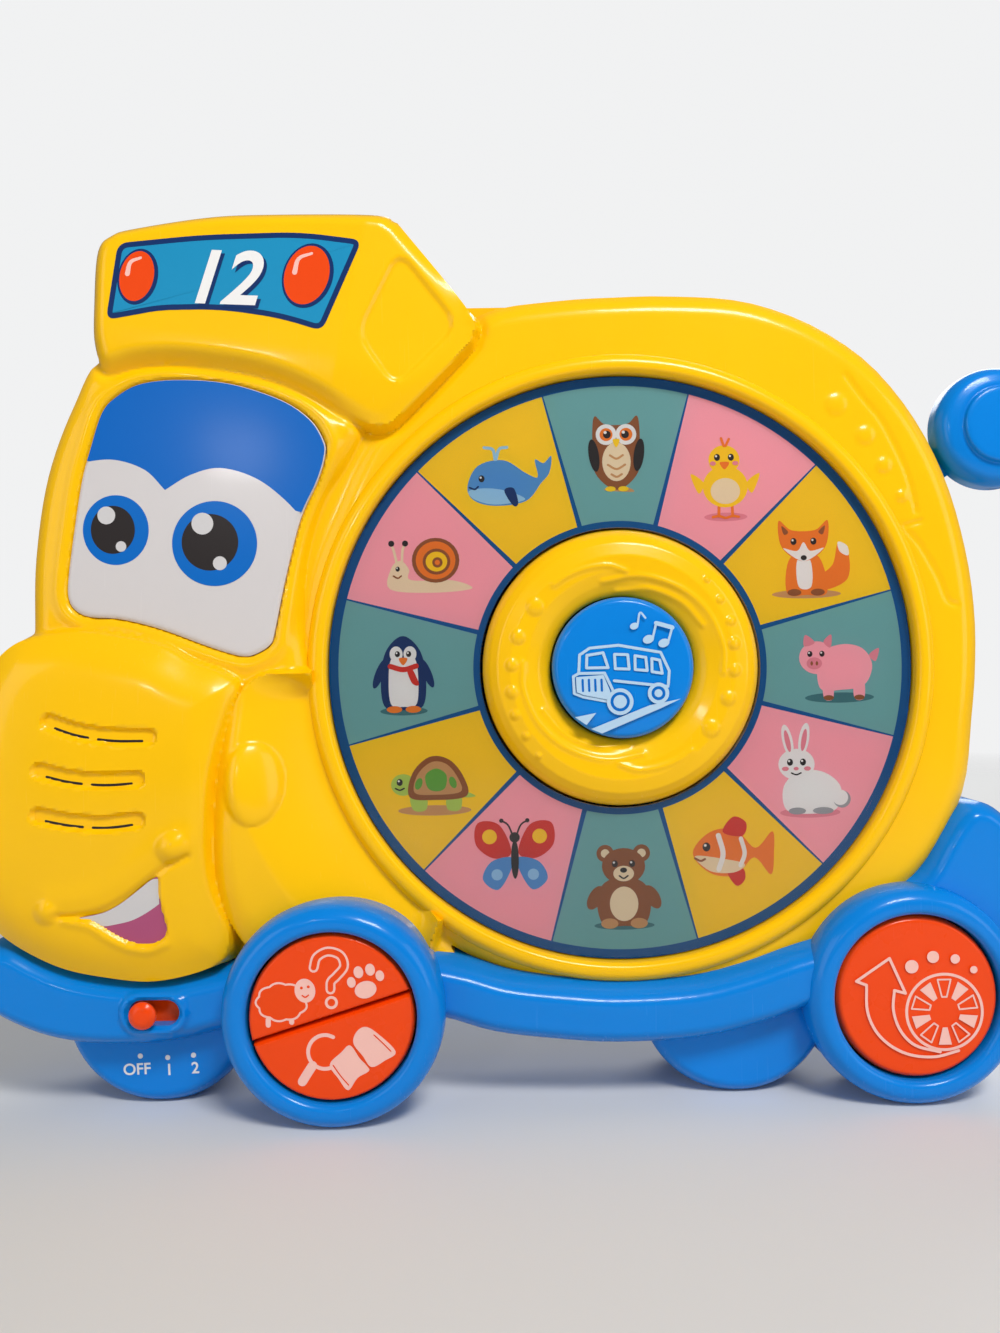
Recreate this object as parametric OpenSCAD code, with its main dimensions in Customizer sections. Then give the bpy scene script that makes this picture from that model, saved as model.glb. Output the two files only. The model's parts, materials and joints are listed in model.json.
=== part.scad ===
// Musical toy school bus: a flat relief body that stands on four wheel feet.
// x runs along the bus, y from front to back, z up. The shells part at y = 0 and the floor is z = 0.

/* [Shells] */
// Wall thickness of every shell
wall = 2.2; // [1.8:0.1:3]
// Depth of the back shell behind the parting plane
back_depth = 32; // [28:1:40]
// Depth of the stepped rear edge of the back shell
back_edge = 6; // [4:0.5:8]
// Seam between the yellow shell and the blue chassis
seam_gap = 0.15; // [0.1:0.05:0.3]

/* [Picture disc] */
// Centre of the picture disc along the bus
disc_x = 32.2; // [28:1:36]
// Height of the lowest point of the bead round the opening
disc_low = 36; // [32:1:40]
// Radius of the round opening in the front shell
opening_r = 90.5; // [86:0.5:92]
// Width of the raised bead round the opening
bead_w = 6.5; // [5:0.5:8]
// How far the bead stands in front of the parting plane
bead_front = 15; // [13.5:0.5:17]
// How far the round body stands in front of the parting plane
body_front = 12; // [11:0.5:13]
// How far the printed card lies in front of the parting plane
card_front = 10; // [9.5:0.5:10.5]
// Thickness of the printed card
card_t = 0.3; // [0.2:0.1:0.5]
// Thickness of the clear cover
cover_t = 1.2; // [1:0.1:1.5]
// Thickness of the press plate
plate_t = 2.2; // [1.8:0.1:2.5]
// Travel of the picture disc when it is pressed
press_travel = 1.5; // [1:0.1:1.6]
// Gap between the clear cover and the shell
cover_gap = 0.6; // [0.4:0.1:1]
// Number of picture sectors, one contact dome each
sectors = 12; // [8:1:16]

/* [Hub and music button] */
// Radius of the yellow hub
hub_r = 42.6; // [40:0.2:45]
// How far the hub's crest stands in front of the parting plane
hub_front = 18; // [17:0.5:20]
// Radius of the blue music button
music_r = 21.4; // [19:0.2:23]
// How far the music button stands in front of the parting plane
music_front = 20; // [19:0.5:22]
// Travel of every button
button_travel = 2; // [1.5:0.1:2]
// Gap round every button
button_gap = 0.5; // [0.3:0.1:0.8]

/* [Cab and windshield] */
// How far the cab reaches past the bead's left edge
cab_reach = 82.9; // [80:0.1:86]
// Width of the cab
cab_w = 104; // [100:1:108]
// How far the cab's foot lies below the disc's centre
cab_drop = 7; // [4:1:10]
// Height of the cab
cab_h = 110; // [106:1:114]
// How far the cab stands in front of the parting plane
cab_front = 16; // [15:0.5:18]
// Thickness of the windshield panel
windshield_t = 2.4; // [2:0.1:3]
// Width of the cab's rim left of the windshield
rim_left = 11.7; // [10:0.1:13]
// Width of the cab's rim right of the windshield
rim_right = 11.3; // [10:0.1:13]
// Height of the cab's rim below the windshield
rim_low = 12.3; // [11:0.1:14]
// Height of the cab's rim above the windshield
rim_high = 12.9; // [11:0.1:15]

/* [Hood and fender] */
// How far the hood reaches past the bead's left edge
hood_reach = 101.7; // [99:0.1:104]
// Width of the hood
hood_w = 80; // [77:1:83]
// Height of the hood
hood_h = 103; // [99:1:106]
// How far the hood stands in front of the parting plane
hood_front = 28; // [26:0.5:29]
// How far the near fender reaches past the bead's left edge
fender_reach = 25.7; // [24:0.1:28]
// Width of the near fender
fender_w = 34; // [31:1:36]
// Height of the near fender
fender_h = 85; // [80:1:88]
// How far the near fender stands in front of the parting plane
fender_front = 24; // [22:0.5:26]
// Length of each grille recess
grille_w = 36; // [30:1:38]
// Height of each grille recess
grille_h = 4.3; // [3.6:0.1:5]
// Width of the raised ellipse on the fender
lamp_w = 16.6; // [14:0.2:18]
// Height of the raised ellipse on the fender
lamp_h = 24.8; // [22:0.2:27]
// Width of the mouth recess
mouth_w = 25; // [22:0.5:27]
// Height of the mouth recess
mouth_h = 19.3; // [17:0.1:21]

/* [Roof sign] */
// How far the roof sign block reaches past the bead's left edge
sign_reach = 61.8; // [59:0.1:65]
// How far the roof sign block reaches down over the cab
sign_lap = 28; // [24:1:32]
// Width of the roof sign block
sign_w = 116.2; // [112:1:120]
// Height of the roof sign block
sign_h = 64.8; // [61:0.5:68]
// How far the sign stands in front of the parting plane
sign_front = 20; // [18:0.5:22]
// Width of the sign label
label_w = 77.2; // [70:1:80]
// Height of the sign label
label_h = 29.8; // [26:0.5:32]
// Thickness of every label
label_t = 0.4; // [0.3:0.1:0.6]

/* [Chassis] */
// Height of the bumper band
band_h = 19.6; // [18:0.2:21]
// How far the bumper band stands in front of the parting plane
band_front = 20; // [19:0.5:22]
// How far the rear bumper block reaches in under the bead's right edge
bumper_lap = 26.2; // [24:0.1:29]
// Width of the rear bumper block
bumper_w = 58.5; // [56:0.5:60]
// Height of the rear bumper block
bumper_h = 70; // [66:1:73]
// How far the rear bumper block stands in front of the parting plane
bumper_front = 15; // [14:0.5:17]

/* [Wheels] */
// Radius of the two near wheels
near_r = 33.2; // [32:0.2:34]
// Radius of the two far wheels
far_r = 30; // [28.5:0.5:31]
// Depth of the flat foot under each wheel
foot_flat = 0.4; // [0.2:0.1:0.8]
// Middle of the near front wheel, inwards from the bead's left edge
front_wheel_in = 9; // [7:0.1:11]
// Middle of the near rear wheel, inwards from the bead's right edge
rear_wheel_in = 10.9; // [9:0.1:13]
// Middle of the far front wheel, outwards from the bead's left edge
far_front_out = 48.2; // [46:0.1:50]
// Middle of the far rear wheel, inwards from the bead's right edge
far_rear_in = 62.2; // [60:0.1:65]
// How far the near front wheel's ring stands in front of the parting plane
front_wheel_front = 32; // [31:0.5:33]
// How far the near rear wheel's ring stands in front of the parting plane
rear_wheel_front = 23; // [22:0.5:24]
// How far the far wheels stand in front of the parting plane
far_front = 10; // [9:0.5:12]
// How far the near wheels reach behind the parting plane
near_back = 10; // [8:0.5:14]
// How far the far wheels reach behind the parting plane
far_back = 28; // [24:1:28]
// Radius of the orange wheel buttons
wheel_button_r = 24.4; // [23:0.2:25]
// Tilt of the split between the two front buttons
split_tilt = 17; // [10:1:20]
// Gap between the two front buttons
split_gap = 0.6; // [0.4:0.1:1]

/* [Lever] */
// Gap between the body's side and the knob at rest
knob_gap = 2.2; // [1.5:0.1:5]
// Angle of the lever above level at rest
lever_angle = 31.6; // [30:0.5:34]
// Swing of the lever when it is pulled
lever_swing = 25; // [20:1:26]
// Radius of the knob
knob_r = 18.6; // [16:0.2:19]
// How far the knob stands in front of the parting plane
knob_front = 14; // [12:0.5:15]
// Width of the lever arm
arm_w = 10; // [8:0.5:12]
// Thickness of the lever arm inside the body
arm_t = 3.6; // [3:0.1:4]
// Radius of the pivot post
pivot_r = 4; // [3:0.2:4.6]
// Radial clearance of the lever's eye on the pivot post
pivot_fit = 0.05; // [0.03:0.01:0.1]

/* [Slide switch] */
// Length of the slot for the switch knob
slot_w = 15.3; // [14:0.1:16]
// Height of the slot for the switch knob
slot_h = 7.6; // [7:0.1:8]
// Radius of the orange switch knob
switch_r = 3.5; // [3:0.1:3.6]
// Width of the raised lip round the slot
switch_lip = 3.1; // [2:0.1:4]

/* [Speaker] */
// Radius of the speaker
speaker_r = 20; // [17:0.5:20]
// Radius of the speaker's magnet
magnet_r = 11; // [9:0.5:12]

/* [Circuit boards] */
// Thickness of every circuit board
board_t = 1.6; // [1:0.1:1.6]
// Width of the main board
board_w = 74; // [66:1:76]
// Height of the main board
board_h = 50; // [44:1:54]
// Thickness of the inner frame
frame_t = 2; // [1.8:0.1:2.4]

/* [Batteries] */
// Radius of one cell
cell_r = 7.25; // [7:0.05:7.25]
// Length of one cell with its nub
cell_len = 50.5; // [49:0.5:50.5]
// How far the battery box lies left of the disc's centre
battery_left = 20.2; // [16:0.2:25]
// How far the battery box lies above the disc's centre
battery_up = 49; // [45:1:55]
// Thickness of the battery door
door_t = 2.2; // [1.8:0.1:2.6]
// Gap round the battery door
door_gap = 0.4; // [0.3:0.1:0.6]

/* [Screws] */
// Radius of a screw's shank
shank_r = 1.3; // [1.1:0.05:1.4]
// Radius of a screw's head
head_r = 2.6; // [2.3:0.1:2.8]
// Height of a screw's head
head_t = 1.8; // [1.5:0.1:2]
// Radius of a screw boss
boss_r = 3.6; // [3.4:0.1:4]
// Clearance of a shank in its hole
shank_gap = 0.05; // [0.02:0.01:0.1]

/* [Hidden] */

round_fn = 96;
small_fn = 32;
past = 1;            // how far a cut runs past a face
run_gap = 0.3;       // gap between moving parts and their neighbours
lip = 1;             // how far a button's flange reaches past its cap
flange_t = 1.5;      // thickness of a button's flange

ring_r = opening_r + bead_w;
disc_z = disc_low + ring_r;
front_x = disc_x - ring_r;          // left edge of the bead
rear_x = disc_x + ring_r;           // right edge of the bead
near_z = near_r - foot_flat;
far_z = far_r - foot_flat;
far_top = disc_low + 2;             // where the far wheels end behind the band
front_wheel_x = front_x + front_wheel_in;
rear_wheel_x = rear_x - rear_wheel_in;
far_front_x = front_x - far_front_out;
far_rear_x = rear_x - far_rear_in;
cover_r = opening_r - cover_gap;
hole_r = hub_r + cover_gap + 0.4;   // hole through card, cover and plate
flange_r = opening_r + 3;
skirt_back = -card_front + card_t + plate_t - run_gap;
plate_back = -card_front + card_t + plate_t;
flange_back = plate_back + flange_t;
board_front = -1;                  // front face of the ring board
frame_front = board_front + board_t;
frame_back = frame_front + frame_t;
arm_front = frame_back + 0.4;
arm_back = arm_front + arm_t;
arm_out = 5;                        // half thickness of the arm outside the body
pivot_end = arm_back + 5;
main_board_front = frame_back + 2.4;
skirt_w = 3.5;                     // width of the skirt round the opening

// Shoulder of the round body outside the bead: angle and width
SHOULDER = [
    [-90, 4], [-60, 8], [-45, 14], [-30, 17], [-20, 17], [-10, 13.8], [0, 14], [10, 15.4], [20, 17.5],
    [30, 20.7], [40, 23.7], [50, 26], [60, 25.6], [70, 23.8], [80, 20], [90, 18.3], [100, 19], [110, 22],
    [120, 18], [135, 10], [150, 5], [180, 4], [225, 4], [270, 4]
];

// Outlines run anticlockwise, as shares of their width and height
CAB = [
    [0, .02], [.38, 0], [.766, 0], [.786, .209], [.8, .38], [.853, .545], [.93, .655], [.99, .78], [1, .94],
    [.7, 1], [.44, 1], [.22, .96], [.126, .82], [.047, .624], [.007, .397], [0, .19]
];
WINDSHIELD = [
    [.086, .149], [.199, .139], [.348, .101], [.533, .033], [.646, 0], [.7, .006], [.758, .04], [.778, .093],
    [.819, .271], [.879, .485], [.948, .627], [.977, .716], [.974, .769], [.923, .849], [.812, .922],
    [.626, .982], [.44, 1], [.289, .988], [.195, .943], [.138, .883], [.09, .749], [.058, .642],
    [.026, .463], [0, .285], [.002, .213], [.031, .171]
];
HOOD = [
    [.894, .005], [.975, .06], [.9625, .21], [.956, .45], [.95, .665], [.93, .82], [.87, .898], [.754, .954],
    [.605, .983], [.456, 1], [.307, .995], [.18, .96], [.08, .87], [.02, .733], [0, .55], [.006, .374],
    [.056, .228], [.1525, .147], [.335, .058], [.52, .021], [.704, 0]
];
FENDER = [
    [.31, 0], [.72, .01], [.956, .15], [1, .5], [.956, .8], [.81, .953], [.54, 1], [.25, .985],
    [.07, .88], [.006, .68], [0, .39], [.04, .13]
];
SIGN = [
    [.03, .285], [.12, .31], [.234, .312], [.415, .26], [.543, .177], [.658, .057], [.71, .01], [.76, .005],
    [.81, .07], [.96, .34], [.99, .42], [.985, .52], [.82, .9], [.79, .955], [.73, .99], [.447, 1],
    [.293, .98], [.1, .91], [.046, .877], [.015, .8], [0, .6], [0, .403]
];
SIGN_LABEL = [
    [0, .148], [.211, .238], [.444, .238], [.676, .138], [.839, 0], [1, .909], [.76, 1], [.372, .987],
    [.052, .919]
];
MOUTH = [[0, .47], [.29, .24], [.644, 0], [.86, .08], [1, .27], [.95, 1], [.72, .68], [.37, .5]];
BUMPER = [
    [0, .54], [0, .26], [.256, 0], [.6, .014], [.8, .086], [.94, .2], [1, .343], [1, .514], [.974, .657],
    [.91, .79], [.825, .89], [.72, .955], [.61, .96], [.53, .905], [.46, .815], [.32, .64]
];
// Middle line of the bumper band: left of the bead, under the disc and towards the rear bumper
BAND_LINE = concat(
    [for (p = [[94.6, 48.6], [86.2, 43.6], [74.2, 37.6], [61.8, 35], [46.8, 32.9], [27.2, 34.5], [-8.8, 41]])
        [front_x - p[0], p[1]]],
    [for (p = [[-56.2, 36], [-38.8, 31], [-20.9, 28.6], [-2.9, 27.3], [21.1, 28.4], [39.2, 32.6]])
        [disc_x + p[0], p[1]]],
    [for (p = [[-41.2, 38], [-11.2, 45], [5.8, 46]]) [rear_x + p[0], p[1]]]
);
switch_x = BAND_LINE[4][0] + 1;
switch_z = BAND_LINE[4][1] - 1;

function spline(p, steps) =
    let (n = len(p))
    [for (i = [0:n - 1], k = [0:steps - 1])
        let (t = k / steps, a = p[(i + n - 1) % n], b = p[i], c = p[(i + 1) % n], d = p[(i + 2) % n])
        (2 * b + (c - a) * t + (2 * a - 5 * b + 4 * c - d) * t * t + (3 * b - a - 3 * c + d) * t * t * t) /
            2];
function placed(shape, x, z, w, h) = [for (p = shape) [x + w * p[0], z + h * p[1]]];
function inset(p, g) =
    let (n = len(p))
    [for (i = [0:n - 1])
        let (a = p[(i + n - 1) % n], b = p[i], c = p[(i + 1) % n],
             u = (b - a) / norm(b - a), v = (c - b) / norm(c - b),
             m = [-u[1] - v[1], u[0] + v[0]])
        b + g * m / (1 + u * v)];
function ring(x, z, r, n) = [for (i = [0:n - 1]) [x + r * cos(360 * i / n), z + r * sin(360 * i / n)]];
function solder_at(front) = wheel_board - front + board_t + wire_r;
function polar(r, a) = [disc_x + r * cos(a), disc_z + r * sin(a)];

body_outline = [for (a = [-90:7.5:262.5]) polar(ring_r + lookup(a, SHOULDER), a)];
cab_x = front_x - cab_reach;
cab_z = disc_z - cab_drop;
cab_outline = spline(placed(CAB, cab_x, cab_z, cab_w, cab_h), 2);
windshield_x = cab_x + rim_left;
windshield_z = cab_z + rim_low;
windshield_w = cab_w - rim_left - rim_right;
windshield_h = cab_h - rim_low - rim_high;
windshield_outline = placed(WINDSHIELD, windshield_x, windshield_z, windshield_w, windshield_h);
hood_x = front_x - hood_reach;
hood_z = 43.5;
hood_outline = spline(placed(HOOD, hood_x, hood_z, hood_w, hood_h), 2);
fender_x = front_x - fender_reach;
fender_z = 47;
fender_outline = spline(placed(FENDER, fender_x, fender_z, fender_w, fender_h), 2);
lamp_x = fender_x + 11;
lamp_z = fender_z + 52;
sign_x = front_x - sign_reach;
sign_z = cab_z + cab_h - sign_lap;
sign_outline = spline(placed(SIGN, sign_x, sign_z, sign_w, sign_h), 2);
sign_label_outline = placed(SIGN_LABEL, sign_x + 5.2, sign_z + 27.6, label_w, label_h);
mouth_outline = spline(placed(MOUTH, hood_x + 36.7, hood_z + 9.6, mouth_w, mouth_h), 2);
bumper_x = rear_x - bumper_lap;
bumper_z = 22;
bumper_outline = spline(placed(BUMPER, bumper_x, bumper_z, bumper_w, bumper_h), 2);
// The band's left end is a half round about the first point of its middle line
band_end = [for (a = [80:20:220]) BAND_LINE[0] + band_h / 2 * [cos(a), sin(a)]];
band_outline = concat(
    [for (i = [1:len(BAND_LINE) - 1]) [BAND_LINE[i][0], BAND_LINE[i][1] - band_h / 2]],
    [for (i = [len(BAND_LINE) - 1:-1:1]) [BAND_LINE[i][0], BAND_LINE[i][1] + band_h / 2]],
    band_end
);

// Closes the hollows between the forms
filler_x = front_x - 39.2;
filler_top = cab_z + 100;
FILLER = [
    [filler_x, 46], [filler_x + 86, 41], [filler_x + 70, 66], [filler_x + 70, filler_top - 12],
    [filler_x + 46, filler_top], [filler_x, filler_top]
];
body_edge = 8;
shoulder_edge = 6;
cab_edge = 6;
hood_edge = 12;
fender_edge = 8;
sign_edge = 6;
band_edge = 6;
bumper_edge = 5;
lever_reach = ring_r + lookup(lever_angle, SHOULDER) + knob_gap + knob_r;
tip = polar(lever_reach, lever_angle);
knob_seat = 9 - knob_front;
switch_arm_r = ring_r - 27;         // how far from the pivot the arm meets its switch
pilot_r = shank_r + shank_gap;
pass_r = shank_r + 0.3;             // shank's hole in the piece that it clamps

// Case screw towers: x, z and how far the front wall stands in front there
TOWERS = [
    [sign_x + 16.6, sign_z + 44, sign_front], [sign_x + 74.6, sign_z + 38, sign_front],
    [cab_x + 13.7, cab_z + 52, cab_front], [hood_x + 16.5, hood_z + 74.5, hood_front],
    [fender_x + 12.5, fender_z + 23, fender_front], concat(polar(ring_r + 11, 100), body_front - 1),
    concat(polar(ring_r + 13, 55), body_front - 1), concat(polar(ring_r + 9, -24), body_front - 1)
];
tower_seat = 3;                    // thickness under a case screw's head
case_tip = -8;
// Ears of the inner frame: angle and how far the front wall stands in front there
FRAME_EARS = [[70, body_front], [125, body_front], [160, body_front], [-8, body_front]];
frame_ear_r = ring_r + 4.6;
frame_r = opening_r + 4.5;
frame_tip = -7;
band_ear_z = disc_low - 8;
band_ear_at = 26;
BAND_EARS = [disc_x - band_ear_at, disc_x + band_ear_at];
band_ear_root = disc_z - frame_r + 14;
// Ears of the chassis: boss point, root point, how far the front wall stands in front there
CHASSIS_EARS = [
    [[hood_x + 62.5, hood_z + 10.5], [hood_x + 62.5, hood_z - 3.5], hood_front],
    [[hood_x + 34.5, hood_z + 14.5], [hood_x + 34.5, hood_z - 1.5], hood_front],
    [[bumper_x + 16, bumper_z + 56], [bumper_x + 30, bumper_z + 56], body_front]
];
chassis_ear_y = -5;
ear_r = 4.4;

hub_lip_back = -hub_front + 5.7;
music_flange = hub_lip_back + run_gap;
hub_screw_r = 32;
HUB_SCREWS = [100, 200, 300];
hub_board_r = 18;
ring_board_in = hub_r + 4.5;
ring_board_out = opening_r - 2.5;
ring_screw_r = ring_board_in + 2.4;
RING_SCREWS = [60, 150, 240, 330];
dome_ring_r = (ring_board_in + ring_board_out) / 2;
small_r = 0.9;
small_head_r = 1.9;
small_head_t = 1.2;
stem_r = 4;
pad_t = 0.8;

wheel_lip = 9.4;                   // from a wheel ring's crest to the back of its collar
wheel_board = 20;                  // from a wheel ring's crest to its button board
button_sink = 2;                   // how far a wheel button's face lies behind the ring's crest
wheel_post_at = near_r - wall - 2.7;
wheel_post_r = 2.1;
wheel_board_r = near_r - wall - 0.4;
WHEEL_POSTS = [45, 135, 225, 315];
half_offset = 10;                  // from the split to a half button's stem

switch_travel = slot_w - 2 * switch_r - 0.3;
slider_w = slot_w + switch_travel + 2;
slider_h = slot_h + 0.8;
slider_pad = 1.3;                   // how far the pad round the slot stands in behind the wall
slider_front = -band_front + wall + slider_pad + run_gap;
slider_t = 1.2;
switch_front = slider_front + slider_t + 2.3;
SWITCH_POSTS = [[switch_x - 9, switch_z + slider_h / 2 + 2.3], [switch_x + 9, switch_z + slider_h / 2 + 2.3]];

speaker_x = hood_x + hood_w / 2 - 0.5;
speaker_z = hood_z + 61.5;
speaker_flange = 1.2;
speaker_seat = -hood_front + wall + 3;
speaker_ear_r = speaker_r + 4;
SPEAKER_EARS = [90, 210, 330];
clamp_t = 1.6;
magnet_front = speaker_seat + 9.8;
magnet_t = 5;

board_right = disc_x - 10.2;
board_left = board_right - board_w;
board_low = disc_z - 21;
main_board_back = main_board_front + board_t;
BOARD_POSTS = [
    [board_left + 4, board_low + 4], [board_right - 4, board_low + 4],
    [board_left + 4, board_low + board_h - 4], [board_right - 4, board_low + board_h - 4]
];

battery_x = disc_x - battery_left;
battery_z = disc_z + battery_up;
box_w = cell_len + 7;
box_h = 4 * cell_r + 1.8;
box_wall = 1.8;
door_inner = back_depth - door_t;
cell_y = door_inner - 0.6 - cell_r;
box_floor = cell_y - cell_r - 0.5;
cell_dz = cell_r + 0.4;
ledge = 3.2;
door_left = battery_x - box_w / 2 - ledge;
door_right = battery_x + box_w / 2 + 12;
door_low = battery_z - box_h / 2 - ledge;
door_high = battery_z + box_h / 2 + ledge;
door_screw_x = door_right - 5;
contact_t = 0.5;
spring_wire = 0.4;

chip_x = board_left + board_w * 0.45;
chip_z = board_low + board_h * 0.55;
// Wires: radius, spacing side by side and the points that each route follows
wire_r = 0.7;
wire_step = 1.8;
solder_y = main_board_back + wire_r;
box_back = box_floor - box_wall - wire_r;
SPEAKER_ROUTE = [
    [speaker_x + 15, -14, speaker_z - 9], [speaker_x + 19, -6, speaker_z - 7], [speaker_x + 29, 3,
        speaker_z - 3],
    [board_left - 28, 8, board_low - 2], [board_left - 8, 9, board_low + 8], [board_left + 10, solder_y,
        board_low + 14]
];
battery_wire_x = battery_x - 24;
BATTERY_ROUTE = [
    [battery_wire_x, box_back, battery_z - 7], [battery_wire_x, box_back - 2, battery_z - 14],
    [battery_wire_x, 9, battery_z - 18], [battery_wire_x, solder_y, board_low + board_h - 5]
];
SWITCH_ROUTE = [
    [switch_x, switch_front + 8.7, switch_z], [switch_x + 6.6, 0, switch_z + 4], [switch_x + 14.6, 8,
        switch_z + 16],
    [fender_x + 4.5, 12, fender_z + 33], [board_left - 14, 12, board_low - 8], [board_left + 1, 11.5,
        board_low + 1],
    [board_left + 10, solder_y, board_low + 7]
];
FRONT_ROUTE = [
    [front_wheel_x + 6, solder_at(front_wheel_front), near_z + 9], [front_wheel_x + 8, -4, near_z + 15],
    [front_wheel_x + 10, 4, near_z + 27], [board_left + 8, 9, board_low - 28], [board_left + 12, 10,
        board_low - 8],
    [board_left + 16, solder_y, board_low + 6]
];
REAR_ROUTE = [
    [rear_wheel_x - 6, solder_at(rear_wheel_front), near_z + 9], [rear_wheel_x - 12, 5, near_z + 17],
    [rear_wheel_x - 24, 9, near_z + 33], [disc_x + 40, 10, disc_z - 45], [disc_x + 8, 10, disc_z - 27],
    [board_right - 6, solder_y, board_low + 10]
];
// Grille rows: middle, from the hood's lower left corner, and tilt
GRILLE = [[[43.2, 75.5], -10], [[40.3, 60.9], -5], [[39.7, 48.2], -4]];
grille_sink = 1;

module slab(y0, y1) {
    translate([0, y1, 0]) rotate([90, 0, 0]) linear_extrude(y1 - y0) children();
}
module plate(outline, y0, y1) {
    slab(y0, y1) polygon(outline);
}
module rod(x, z, r, y0, y1, fn = small_fn) {
    translate([x, y1, z]) rotate([90, 0, 0]) cylinder(r = r, h = y1 - y0, $fn = fn);
}
module rod_at(p, r, y0, y1) {
    rod(p[0], p[1], r, y0, y1);
}
module block(x0, x1, y0, y1, z0, z1) {
    translate([x0, y0, z0]) cube([x1 - x0, y1 - y0, z1 - z0]);
}
module turned(x, z, profile) {
    translate([x, 0, z]) rotate([90, 0, 0])
        rotate_extrude($fn = round_fn) polygon([for (p = profile) [p[0], -p[1]]]);
}
// Flat bar from a to b with round ends of radius r
module strap(a, b, r, y0, y1) {
    d = (b - a) / norm(b - a);
    s = r * [-d[1], d[0]];
    slab(y0, y1) {
        polygon([a + s, a - s, b - s, b + s]);
        for (p = [a, b]) translate(p) circle(r = r, $fn = small_fn);
    }
}
// Skin over sections of equal point count, listed front to back as [y, outline]
module loft(sections) {
    n = len(sections[0][1]);
    m = len(sections);
    points = [for (s = sections, p = s[1]) [p[0], s[0], p[1]]];
    sides = [for (k = [0:m - 2], i = [0:n - 1])
        let (a = k * n + i, b = k * n + (i + 1) % n)
        each [[a, b, b + n], [a, b + n, a + n]]];
    front = [for (i = [n - 1:-1:0]) i];
    back = [for (i = [0:n - 1]) (m - 1) * n + i];
    polyhedron(points, concat([front], sides, [back]));
}
// Round tube along a path, flat ended
module tube(path, r, sides = 6) {
    n = len(path);
    function direction(i) =
        let (d = path[min(i + 1, n - 1)] - path[max(i - 1, 0)]) d / norm(d);
    function across(d) = let (c = cross(d, abs(d[2]) < 0.9 ? [0, 0, 1] : [1, 0, 0])) c / norm(c);
    points = [for (i = [0:n - 1], k = [0:sides - 1])
        let (d = direction(i), u = across(d), v = cross(d, u), a = 360 * k / sides)
        path[i] + r * (cos(a) * u + sin(a) * v)];
    skin = [for (i = [0:n - 2], k = [0:sides - 1])
        let (a = i * sides + k, b = i * sides + (k + 1) % sides)
        each [[a, b, b + sides], [a, b + sides, a + sides]]];
    start = [for (k = [sides - 1:-1:0]) k];
    end = [for (k = [0:sides - 1]) (n - 1) * sides + k];
    polyhedron(points, concat([start], skin, [end]));
}
module stadium(w, h) {
    for (s = [-1, 1]) translate([s * (w - h) / 2, 0]) circle(d = h, $fn = small_fn);
    square([w - h, h], center = true);
}
// Screw whose head bears on the plane y = head and whose shank ends at y = tip
module screw(x, z, head, tip, r = shank_r, hr = head_r, ht = head_t) {
    way = sign(head - tip);
    top = head + way * ht;
    difference() {
        union() {
            rod(x, z, hr, min(head, top), max(head, top));
            rod(x, z, r, min(head, tip), max(head, tip));
        }
        for (a = [0, 90])
            translate([x, top, z]) rotate([0, a, 0]) cube([hr * 1.2, ht, hr * 0.3], center = true);
    }
}
module wheel_body(x, z, r, front, g, back, edge = 5) {
    turned(x, z, [
        [0, g - front], [r - edge, g - front], [r - g - (edge - g) * 0.3, g - front + (edge - g) * 0.3],
        [r - g, edge - front], [r - g, back], [0, back]
    ]);
}
// Raised form in two levels, drawn in by g: its front edge is stepped back over the depth of edge
module form(outline, front, edge, g, back) {
    plate(inset(outline, g), edge * 0.4 - front + max(g, 0) * 0.6, back);
    plate(inset(outline, g + edge * 0.4), g - front, back);
}
module yellow_outline(g) {
    for (p = [body_outline, cab_outline, hood_outline, fender_outline, sign_outline, FILLER])
        polygon(inset(p, g));
}
// Yellow forms, drawn in by g; their backs end at y = back
module yellow_forms(g, back) {
    slab(shoulder_edge * 0.5 + g - body_front, back) yellow_outline(g);
    form(body_outline, body_front, body_edge, g, back);
    form(cab_outline, cab_front, cab_edge, g, back);
    form(hood_outline, hood_front, hood_edge, g, back);
    form(fender_outline, fender_front, fender_edge, g, back);
    form(sign_outline, sign_front, sign_edge, g, back);
}
module blue_forms(g, back) {
    form(band_outline, band_front, band_edge, g, back);
    form(bumper_outline, bumper_front, bumper_edge, g, back);
    wheel_body(front_wheel_x, near_z, near_r, front_wheel_front, g, back);
    wheel_body(rear_wheel_x, near_z, near_r, rear_wheel_front, g, back);
    intersection() {
        union() {
            wheel_body(far_front_x, far_z, far_r, far_front, g, back, 3);
            wheel_body(far_rear_x, far_z, far_r, far_front, g, back, 3);
        }
        block(far_front_x - far_r - past, far_rear_x + far_r + past, -far_front - past, back + past, -past,
            far_top - g);
    }
}
module back_outline(g) {
    yellow_outline(g);
    polygon(inset(band_outline, g));
    polygon(inset(bumper_outline, g));
}
module back_forms(g, back) {
    slab(-back, back_depth - back_edge * 0.5 - max(g, 0) * 0.6) back_outline(g);
    slab(-back, back_depth - g) back_outline(g + back_edge * 0.4);
    mirror([0, 1, 0]) {
        wheel_body(front_wheel_x, near_z, near_r, near_back, g, back);
        wheel_body(rear_wheel_x, near_z, near_r, near_back, g, back);
        wheel_body(far_front_x, far_z, far_r, far_back, g, back);
        wheel_body(far_rear_x, far_z, far_r, far_back, g, back);
    }
}
module below_floor() {
    block(hood_x - past, bumper_x + bumper_w + past, -front_wheel_front - past, back_depth + past,
        -foot_flat - past, 0);
}
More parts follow.
